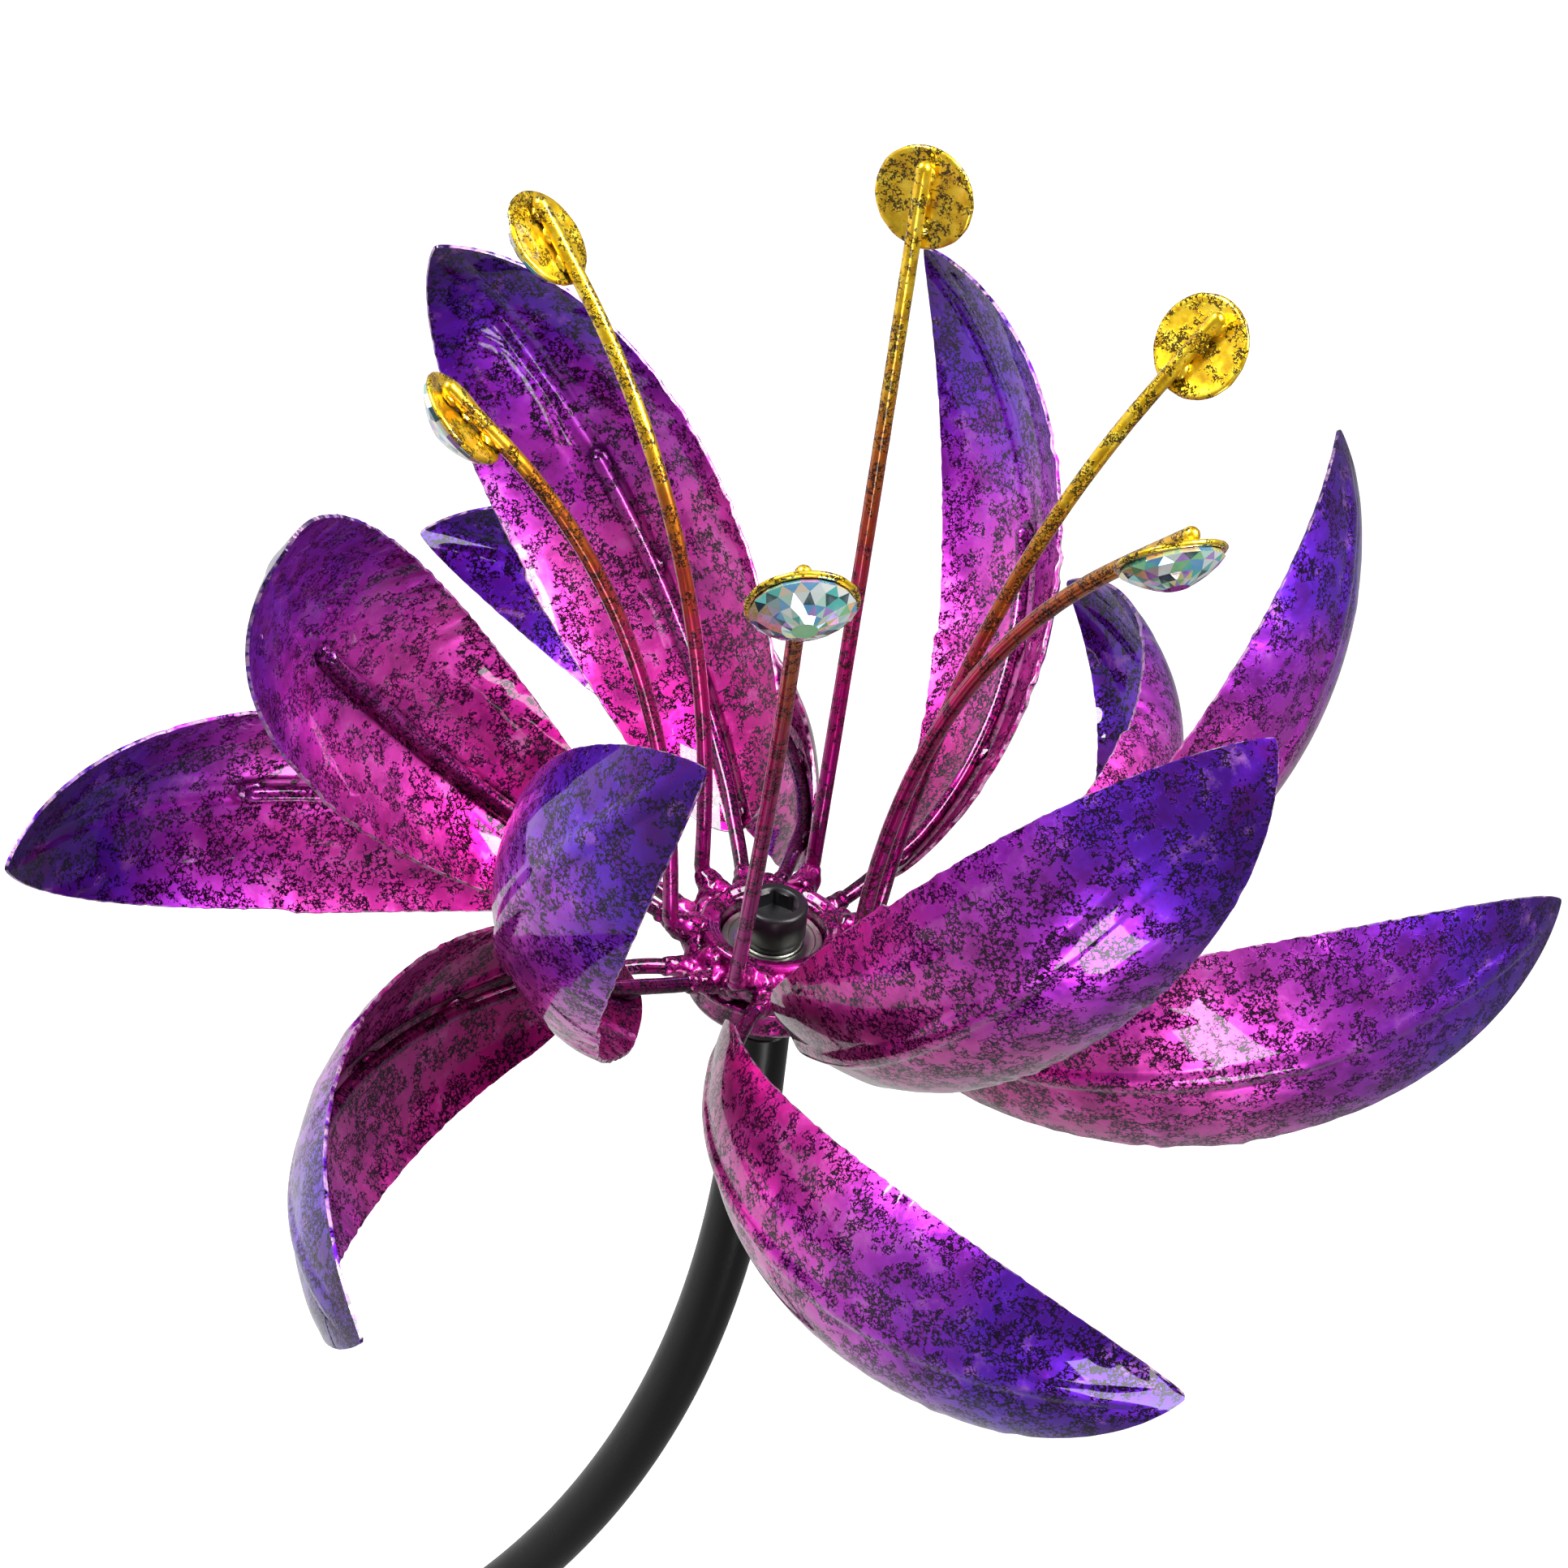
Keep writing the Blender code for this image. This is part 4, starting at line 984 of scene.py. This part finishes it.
# %% Ring and drum
HUB_BORE, HUB_RADIUS, HUB_DRUM_RADIUS, HUB_DRUM_BORE = 0.0143, 0.0202, 0.0231, 0.0122
HUB_SPLIT, HUB_BOTTOM, HUB_FLOOR = -0.0130, -0.0233, 0.0008
top = HUB_SPLIT + GAP / 2
ring_profile = [(HUB_BORE, top), (HUB_RADIUS, top), (HUB_RADIUS, -0.0026), (HUB_RADIUS - 0.0003, -0.0012),
                (HUB_RADIUS - 0.0010, -0.0004), (HUB_RADIUS - 0.0020, -0.00005),
                (HUB_RADIUS - 0.0028, -0.0002), (HUB_BORE + 0.0018, -0.0012), (HUB_BORE + 0.0008, -0.0013),
                (HUB_BORE, -0.0020)]
add_turned("hub_sleeve_ring", soften(ring_profile, 0.0003), CANDY_HUB, "candy_magenta", ["hub_sleeve"],
           steps=120, smooth_angle=45.0)
low = HUB_SPLIT - GAP / 2
drum_profile = [(HUB_BORE, low), (HUB_DRUM_RADIUS - 0.0006, low), (HUB_DRUM_RADIUS, low - 0.0005),
                (HUB_DRUM_RADIUS, low - 0.0014), (HUB_DRUM_RADIUS - 0.0005, low - 0.0022),
                (HUB_DRUM_RADIUS - 0.0009, HUB_BOTTOM + 0.0020), (HUB_DRUM_RADIUS - 0.0022, HUB_BOTTOM),
                (HUB_DRUM_BORE, HUB_BOTTOM), (HUB_DRUM_BORE, HUB_BOTTOM + HUB_FLOOR),
                (HUB_BORE, HUB_BOTTOM + HUB_FLOOR)]
add_turned("hub_cup_drum", soften(drum_profile, 0.0005), CANDY_HUB, "candy_magenta", ["hub_cup"],
           steps=120, smooth_angle=45.0)


# %% The weld mass
WELD_LUMPS, WELD_VOXEL, WELD_ROUNDS, WELD_BORE = 60, 0.0005, 18, 0.0180
ROD_LUMPS = ((0, 0.0044), (4, 0.0040), (8, 0.0035), (12, 0.0029))    # which point of the path, and radius
FOOT_LUMPS = ((0, 0.0042), (1, 0.0040), (3, 0.0036), (5, 0.0031))


def weld_heap(bm):
    """Rough lumps round the shoulder, on the ends of the rods and on the stamens' feet."""
    rng = np.random.default_rng(5)
    straight = Matrix.Identity(3)
    for k in range(WELD_LUMPS):
        a = 2 * math.pi * (k + rng.uniform(-0.4, 0.4)) / WELD_LUMPS
        r = rng.uniform(0.0203, 0.0218)
        spot = (r * math.cos(a), r * math.sin(a), rng.uniform(-0.0105, -0.0045))
        size = rng.uniform(0.0028, 0.0042)
        lump(bm, spot, (size, size, size * 1.3), straight, 0.35, k * 1.9)
    for _, tier, number, bends in LEAVES:
        path, _, _ = rod_path(tier, bends, number)
        for k, size in ROD_LUMPS:
            lump(bm, path[k], (size, size, size), straight, 0.2, number + k * 0.7)
    for number, settings in enumerate(STAMENS):
        points, _ = stamen_path(*settings[:5])
        for k, size in FOOT_LUMPS:
            spot = points[k] - Vector((0, 0, 0.0004))
            lump(bm, spot, (size, size, size), straight, 0.2, number * 3 + k)


def weld_mass_mesh(name):
    bm = bmesh.new()
    weld_heap(bm)
    data = bpy.data.meshes.new(name + "_heap")
    bm.to_mesh(data)
    bm.free()
    heap = bpy.data.objects.new(name + "_heap", data)
    bpy.context.scene.collection.objects.link(heap)
    remesh = heap.modifiers.new("skin", "REMESH")
    remesh.mode = "VOXEL"
    remesh.voxel_size = WELD_VOXEL
    soft = heap.modifiers.new("soft", "SMOOTH")
    soft.factor, soft.iterations = 0.5, WELD_ROUNDS
    graph = bpy.context.evaluated_depsgraph_get()
    made = bpy.data.meshes.new_from_object(heap.evaluated_get(graph))
    bpy.data.objects.remove(heap)
    made.name = name
    normals = [v.normal.copy() for v in made.vertices]
    for vert, normal in zip(made.vertices, normals):
        swell = noise.noise(vert.co * 520.0) * 0.00020 + noise.noise(vert.co * 190.0) * 0.00055
        vert.co += normal * swell
        if math.hypot(vert.co.x, vert.co.y) < WELD_BORE:
            out = Vector((vert.co.x, vert.co.y, 0.0)).normalized() * WELD_BORE
            vert.co.x, vert.co.y = out.x, out.y
    finish_mesh(made, 80.0)
    return made


add_piece("weld_mass", weld_mass_mesh("weld_mass"), CANDY_WELD, [])
print("hub ring, drum and weld")

# %% [markdown]
# ## Screw and bearings
# The hub is held by a socket-head cap screw that clamps the inner rings of two ball bearings. The screw's
# head has a rounded top edge and a wide hexagonal socket with a narrow tapered lip. Each bearing is an outer
# race with its thin shields, and an inner ring, with a dark line between them.

# %% Screw
SCREW_HEAD_RADIUS, SCREW_HEAD_TOP, SCREW_HEAD_HEIGHT = 0.0089, 0.0072, 0.0100
SCREW_RADIUS, SCREW_LENGTH = 0.0049, 0.0420
SOCKET_FLATS, SOCKET_DEPTH = 0.0100, 0.0052


def hexagon_radius(angle, flats):
    slice_angle = (angle + math.pi / 6) % (math.pi / 3) - math.pi / 6
    return flats / 2 / math.cos(slice_angle)


def screw_mesh(name):
    """Rings of points from the socket's floor up over the head and down to the shank's end."""
    turn = np.linspace(0, 2 * math.pi, 96, endpoint=False)
    hexagon = np.array([hexagon_radius(a, SOCKET_FLATS) for a in turn])
    corner = SOCKET_FLATS / math.sqrt(3)
    t = SCREW_HEAD_TOP
    floor = t - SOCKET_DEPTH
    head_low = t - SCREW_HEAD_HEIGHT
    r = SCREW_HEAD_RADIUS
    end = head_low - SCREW_LENGTH
    socket = [(hexagon * 0.02, floor - 0.0011), (hexagon * 0.97, floor), (hexagon, floor + 0.0002),
              (hexagon, t - 0.0011), (np.maximum(hexagon, corner * 0.985), t - 0.0006),
              (corner * 1.05, t - 0.0001), (corner * 1.09, t)]
    head = [(r - 0.0015, t), (r - 0.0010, t - 0.00006), (r - 0.0006, t - 0.00022), (r - 0.00025, t - 0.0005),
            (r - 0.00006, t - 0.0009), (r, t - 0.0014), (r, head_low + 0.0004), (r - 0.0003, head_low)]
    shank = [(SCREW_RADIUS, head_low), (SCREW_RADIUS, end + 0.0006), (SCREW_RADIUS - 0.0006, end),
             (0.0002, end)]
    return ringed_mesh(name, turn, socket + head + shank, 40.0)


add_piece("cap_screw_turned", screw_mesh("cap_screw_turned"), BLACK_OXIDE, ["cap_screw"],
          "stake")

# %% Bearings
BEARING_TOPS = (-0.0052, -0.0142)
BEARING_WIDTH = 0.0080
RACE_RADIUS, RACE_INSIDE, SHIELD_BORE = 0.0140, 0.0118, 0.0088
RING_RADIUS, RING_BORE = 0.0084, 0.00625
WASHER_BORE, WASHER_RADIUS, WASHER_TOP = 0.0052, 0.0081, -0.0031
for label, top in zip(("upper", "lower"), BEARING_TOPS):
    low = top - BEARING_WIDTH
    race = [(RACE_RADIUS, low + 0.0004), (RACE_RADIUS, top - 0.0004), (0.0136, top), (0.0120, top),
            (RACE_INSIDE, top - 0.0004)]
    upper_shield = [(0.0116, top - 0.0002), (0.0094, top - 0.0003), (0.0090, top - 0.0006),
                    (SHIELD_BORE, top - 0.0007), (SHIELD_BORE, top - 0.0010), (RACE_INSIDE, top - 0.0010)]
    lower_shield = [(RACE_INSIDE, low + 0.0007), (SHIELD_BORE, low + 0.0007), (SHIELD_BORE, low + 0.0003),
                    (RACE_INSIDE, low + 0.0002), (0.0120, low), (0.0136, low)]
    add_turned(f"{label}_bearing_race", race + upper_shield + lower_shield, BEARING_STEEL, "steel",
               [f"{label}_bearing_outer"])
    inner = [(RING_BORE, low), (RING_BORE, top), (RING_RADIUS, top), (RING_RADIUS, low)]
    add_turned(f"{label}_bearing_ring", soften(inner, 0.0003), BEARING_STEEL, "steel",
               [f"{label}_bearing_inner"], "stake")
washer_low = BEARING_TOPS[0] + GAP
washer = [(WASHER_BORE, washer_low), (WASHER_RADIUS, washer_low), (WASHER_RADIUS, WASHER_TOP),
          (WASHER_BORE, WASHER_TOP)]
add_turned("clamp_washer_turned", soften(washer, 0.0002), BLACK_OXIDE, "black_oxide", ["clamp_washer"],
           "stake")
print("screw, washer and bearings")

# %% [markdown]
# ## The stake
# A bent tube comes out of a straight pole and ends in a black boss under the hub. The pole stands in a
# socket on a step bar with two prongs, which a foot presses into the ground. Powder coat rounds every
# edge, and a bead of weld runs where the prongs and the socket meet the bar.

# %% Neck, boss and pole
TUBE_RADIUS, TUBE_BORE = 0.0080, 0.0067
NECK_RADIUS, NECK_BEND, NECK_START = 0.425, math.radians(60.0), 0.600
POLE_FOOT, POLE_JOINT = 0.0098, 0.440
SPIGOT_LENGTH, SPIGOT_RADIUS, SPIGOT_BORE = 0.060, 0.0063, 0.0050
BOSS_RADIUS, BOSS_LENGTH, BOSS_BORE = 0.00875, 0.0110, 0.0052
BOSS_SEAT, BOSS_SHOULDER = -0.0225, -0.0239
BOSS_SEAT_RADIUS, BOSS_PLUG_RADIUS, BOSS_PLUG_LENGTH = 0.0080, 0.0063, 0.016
HUB_FROM_BEND = 0.0673     # from the end of the tube's bend up to the hub, along the axis
NECK_TIP = HUB_FROM_BEND + BOSS_SHOULDER - BOSS_LENGTH - GAP
NECK_STEPS, TUBE_SIDES = 96, 48


def neck_path():
    heights = [POLE_JOINT - SPIGOT_LENGTH, POLE_JOINT, POLE_JOINT + 0.0003, POLE_JOINT + 0.0010,
               POLE_JOINT + 0.0016]
    heights += list(np.linspace(POLE_JOINT + 0.01, NECK_START, 12))
    path = [(0.0, 0.0, h) for h in heights]
    for k in range(1, NECK_STEPS + 1):
        a = NECK_BEND * k / NECK_STEPS
        path.append((0.0, -NECK_RADIUS * (1 - math.cos(a)), NECK_START + NECK_RADIUS * math.sin(a)))
    end = Vector(path[-1])
    for k in (0.25, 0.5, 0.75, 0.985, 1.0):
        path.append(tuple(end + SPIN_AXIS * NECK_TIP * k))
    return np.array(path)


neck_points = neck_path()
outer_radii = np.full(len(neck_points), TUBE_RADIUS)
outer_radii[:2] = SPIGOT_RADIUS
outer_radii[2:5] = (TUBE_RADIUS - 0.0009, TUBE_RADIUS - 0.0002, TUBE_RADIUS)
outer_radii[-1] = TUBE_RADIUS - 0.0004
inner_radii = np.full(len(neck_points), TUBE_BORE)
inner_radii[:5] = SPIGOT_BORE
skin = np.concatenate([tube_points(neck_points, outer_radii, TUBE_SIDES),
                       tube_points(neck_points, inner_radii, TUBE_SIDES)[::-1]])
neck_data = close_ring(grid_mesh("neck_tube_bent", skin, closed_across=True, closed_along=True), 35.0)
add_piece("neck_tube_bent", neck_data, SATIN_BLACK, ["neck_tube"], "stake", WORLD)

foot = BOSS_SHOULDER - BOSS_LENGTH
plug_end = foot - BOSS_PLUG_LENGTH
boss = [(BOSS_BORE, BOSS_SEAT), (BOSS_SEAT_RADIUS, BOSS_SEAT), (BOSS_SEAT_RADIUS, BOSS_SHOULDER),
        (BOSS_RADIUS, BOSS_SHOULDER), (BOSS_RADIUS, foot + 0.0022), (BOSS_RADIUS - 0.0006, foot),
        (BOSS_PLUG_RADIUS, foot), (BOSS_PLUG_RADIUS, plug_end), (BOSS_BORE, plug_end)]
add_turned("spindle_boss_turned", soften(boss), SATIN_BLACK, "satin_black", ["spindle_boss"], "stake")
pole_top = POLE_JOINT - GAP
pole = [(TUBE_BORE, POLE_FOOT), (TUBE_RADIUS, POLE_FOOT), (TUBE_RADIUS, pole_top), (TUBE_BORE, pole_top)]
add_turned("pole_tube_straight", soften(pole, 0.0005), SATIN_BLACK, "satin_black", ["pole_tube"], "stake",
           WORLD, steps=64)
print("neck, boss and pole")


# %% Socket, bolt, step bar and prongs
SOCKET_RADIUS, SOCKET_TOP, SOCKET_FLOOR = 0.0120, 0.065, 0.0095
BAR_LENGTH, BAR_WIDTH, BAR_THICKNESS = 0.170, 0.028, 0.005
BOLT_HEIGHT = 0.042
foot = BAR_THICKNESS + GAP
socket = [(0.0, foot), (SOCKET_RADIUS, foot), (SOCKET_RADIUS, SOCKET_TOP), (TUBE_RADIUS + GAP, SOCKET_TOP),
          (TUBE_RADIUS + GAP, SOCKET_FLOOR), (0.0, SOCKET_FLOOR)]
add_turned("ground_socket_turned", soften(socket, 0.0010), SATIN_BLACK, "satin_black", ["ground_socket"],
           "stake", WORLD, steps=64, closed=False)


def bead_ring(name, radius, size, height, lumps):
    """A ring of overlapping weld ripples."""
    turns = np.linspace(0, 2 * math.pi, lumps * 6, endpoint=False)
    path = np.stack([radius * np.cos(turns), radius * np.sin(turns), np.full_like(turns, height)], -1)
    around = np.linspace(0, 2 * math.pi, 14, endpoint=False)
    rings = []
    for point, a in zip(path, turns):
        ripple = size * (1 + 0.14 * abs(math.sin(a * lumps / 2)) + 0.08 * noise.noise(Vector(point) * 400))
        outward = np.array((math.cos(a), math.sin(a), 0.0))
        rings.append([point + outward * math.cos(b) * ripple + np.array((0, 0, 1.0)) * math.sin(b) * ripple
                      for b in around])
    return close_ring(grid_mesh(name, np.array(rings), closed_across=True, closed_along=True), 60.0)


add_piece("socket_weld", bead_ring("socket_weld", SOCKET_RADIUS, 0.0016, BAR_THICKNESS + 0.0006, 22),
          SATIN_BLACK, [], "stake", WORLD)

# %% The bolt
BOLT_RADIUS, BOLT_FLATS, BOLT_END = 0.0029, 0.0100, 0.0084


def bolt_mesh(name):
    """A hexagon bolt with a washer face, lying along Z from its end up to its head."""
    turn = np.linspace(0, 2 * math.pi, 72, endpoint=False)
    hexagon = np.array([hexagon_radius(a, BOLT_FLATS) for a in turn])
    low = SOCKET_RADIUS + GAP
    round_top = np.minimum(hexagon, BOLT_FLATS / 2 * 1.06)
    shank = [(0.0001, BOLT_END), (BOLT_RADIUS, BOLT_END), (BOLT_RADIUS, low)]
    collar = [(0.0061, low), (0.0063, low + 0.0003), (0.0061, low + 0.0008)]
    head = [(hexagon, low + 0.0009), (hexagon, low + 0.0034), (round_top, low + 0.0039),
            (round_top * 0.8, low + 0.0040), (round_top * 0.02, low + 0.0039)]
    return ringed_mesh(name, turn, shank + collar + head, 30.0)


add_piece("socket_bolt_hex", bolt_mesh("socket_bolt_hex"), BRIGHT_ZINC, ["socket_bolt"], "stake",
          point_at(Vector((0, 0, BOLT_HEIGHT)), Vector((0, -1, 0))))

# %% The step bar
CORNER_ROUND, EDGE_ROUND = 0.010, 0.0009
bm = bmesh.new()
bmesh.ops.create_cube(bm, size=1.0, matrix=Matrix.Translation((0, 0, BAR_THICKNESS / 2))
                      @ Matrix.Diagonal((BAR_LENGTH, BAR_WIDTH, BAR_THICKNESS, 1.0)))
corners = [e for e in bm.edges if abs(e.verts[0].co.z - e.verts[1].co.z) > BAR_THICKNESS / 2]
bmesh.ops.bevel(bm, geom=corners, offset=CORNER_ROUND, segments=10, affect="EDGES", profile=0.5)
rims = [e for e in bm.edges if len(e.link_faces) == 2 and e.calc_face_angle() > 1.2]
bmesh.ops.bevel(bm, geom=rims, offset=EDGE_ROUND, segments=3, affect="EDGES", profile=0.5)
bmesh.ops.recalc_face_normals(bm, faces=bm.faces)
bar_data = bpy.data.meshes.new("step_bar_rounded")
bm.to_mesh(bar_data)
bm.free()
finish_mesh(bar_data, 35.0)
add_piece("step_bar_rounded", bar_data, SATIN_BLACK, ["step_bar"], "stake", WORLD)

# %% The prongs
PRONG_RADIUS, PRONG_LENGTH, PRONG_SPACING = 0.0045, 0.200, 0.140
prong = [(0.0, -PRONG_LENGTH), (0.0008, -PRONG_LENGTH + 0.0006), (PRONG_RADIUS * 0.55, -PRONG_LENGTH + 0.010),
         (PRONG_RADIUS, -PRONG_LENGTH + 0.022), (PRONG_RADIUS, -0.0003), (0.0, -0.0003)]
for side, x in (("left", -PRONG_SPACING / 2), ("right", PRONG_SPACING / 2)):
    there = Matrix.Translation((x, 0, 0))
    add_turned(f"prong_{side}_rod", soften(prong, 0.0008), SATIN_BLACK, "satin_black", [f"prong_{side}"],
               "stake", there, steps=48, closed=False)
    add_piece(f"prong_{side}_weld", bead_ring(f"prong_{side}_weld", PRONG_RADIUS, 0.0011, -0.0006, 14),
              SATIN_BLACK, [], "stake", there)
print("fork, socket and bolt")

# %% [markdown]
# ## Parts that stay as measured
# The sleeve inside the bearings hardly shows. It keeps its measured shape and only takes its steel.

# %% Steel for the kept part
kept = frame["nodes"]["bearing_sleeve"]
kept.data.materials.clear()
kept.data.materials.append(BEARING_STEEL)
print("kept as measured:", kept.name)

# %% [markdown]
# ## Floor and light
# The floor is plain and pale, just under the prongs' tips. Three large soft panels light the flower: one
# over its left shoulder, one over its right, and one low in front to open the shadows. A soft sun and a
# faint, even sky fill the rest. Floor and sky look near white, but they send little light onto the flower,
# so the clear coat stays deep in colour and the crackle stays black.

# %% Floor
FLOOR_HEIGHT, FLOOR_REACH = -0.2005, 9.0
FLOOR_GREY, FLOOR_SHADE = (0.40, 0.40, 0.40), (0.36, 0.36, 0.37)
GLOW_WHEN_SEEN, GLOW = 0.82, 0.10
floor_finish = Finish("pale_floor", Roughness=0.9, Emission_Strength=1.0)
looked_at = floor_finish.node("LightPath")
floor_finish.surface(Emission_Color=looked_at * GLOW_WHEN_SEEN + GLOW)
grain = floor_finish.noise(floor_finish.place(), 3.0, 2.0)
floor_finish.surface(Base_Color=floor_finish.colour_mix(grain * 0.04, FLOOR_GREY, FLOOR_SHADE))
floor_data = grid_mesh("floor", np.array([[(x, y, FLOOR_HEIGHT) for x in (-FLOOR_REACH, FLOOR_REACH)]
                                          for y in (-FLOOR_REACH, FLOOR_REACH)]))
floor_data.materials.append(floor_finish.material)
floor = bpy.data.objects.new("floor", floor_data)
bpy.context.scene.collection.objects.link(floor)


# %% Lights
PANELS = (("left_panel", -0.75, 1.25, 0.75, 1.00, 0.60, 52.0),
          ("right_panel", 1.10, 0.75, 0.85, 0.80, 1.10, 66.0),
          ("low_panel", 0.15, -1.30, 0.70, 1.20, 0.35, 12.0))
SUN_LIGHT, SUN_WIDTH = 0.8, math.radians(25.0)
SKY_LIGHT, SKY_WHEN_SEEN = 0.20, 0.9


def soft_panel(name, side, up, towards, width, height, watts):
    """A panel that faces the hub, placed from it along the camera's own directions."""
    data = bpy.data.lights.new(name, "AREA")
    data.shape = "RECTANGLE"
    data.size, data.size_y = width, height
    data.energy = watts
    panel = bpy.data.objects.new(name, data)
    bpy.context.scene.collection.objects.link(panel)
    spot = HUB + SIDEWAYS * side + UPWARDS * up + TOWARDS * towards
    panel.matrix_world = point_at(spot, spot - HUB)
    panel.visible_camera = False


for panel in PANELS:
    soft_panel(*panel)
sun = bpy.data.objects.new("floor_light", bpy.data.lights.new("floor_light", "SUN"))
sun.data.energy = SUN_LIGHT
sun.data.angle = SUN_WIDTH
bpy.context.scene.collection.objects.link(sun)

# %% Sky
sky = bpy.data.worlds.new("sky")
sky.use_nodes = True
background = sky.node_tree.nodes["Background"]
background.inputs["Color"].default_value = (1.0, 1.0, 1.0, 1.0)
seen = sky.node_tree.nodes.new("ShaderNodeMapRange")
ray = sky.node_tree.nodes.new("ShaderNodeLightPath")
sky.node_tree.links.new(ray.outputs["Is Camera Ray"], seen.inputs["Value"])
seen.inputs["To Min"].default_value = SKY_LIGHT
seen.inputs["To Max"].default_value = SKY_WHEN_SEEN
sky.node_tree.links.new(seen.outputs["Result"], background.inputs["Strength"])
bpy.context.scene.world = sky
print("floor, lights and sky set")
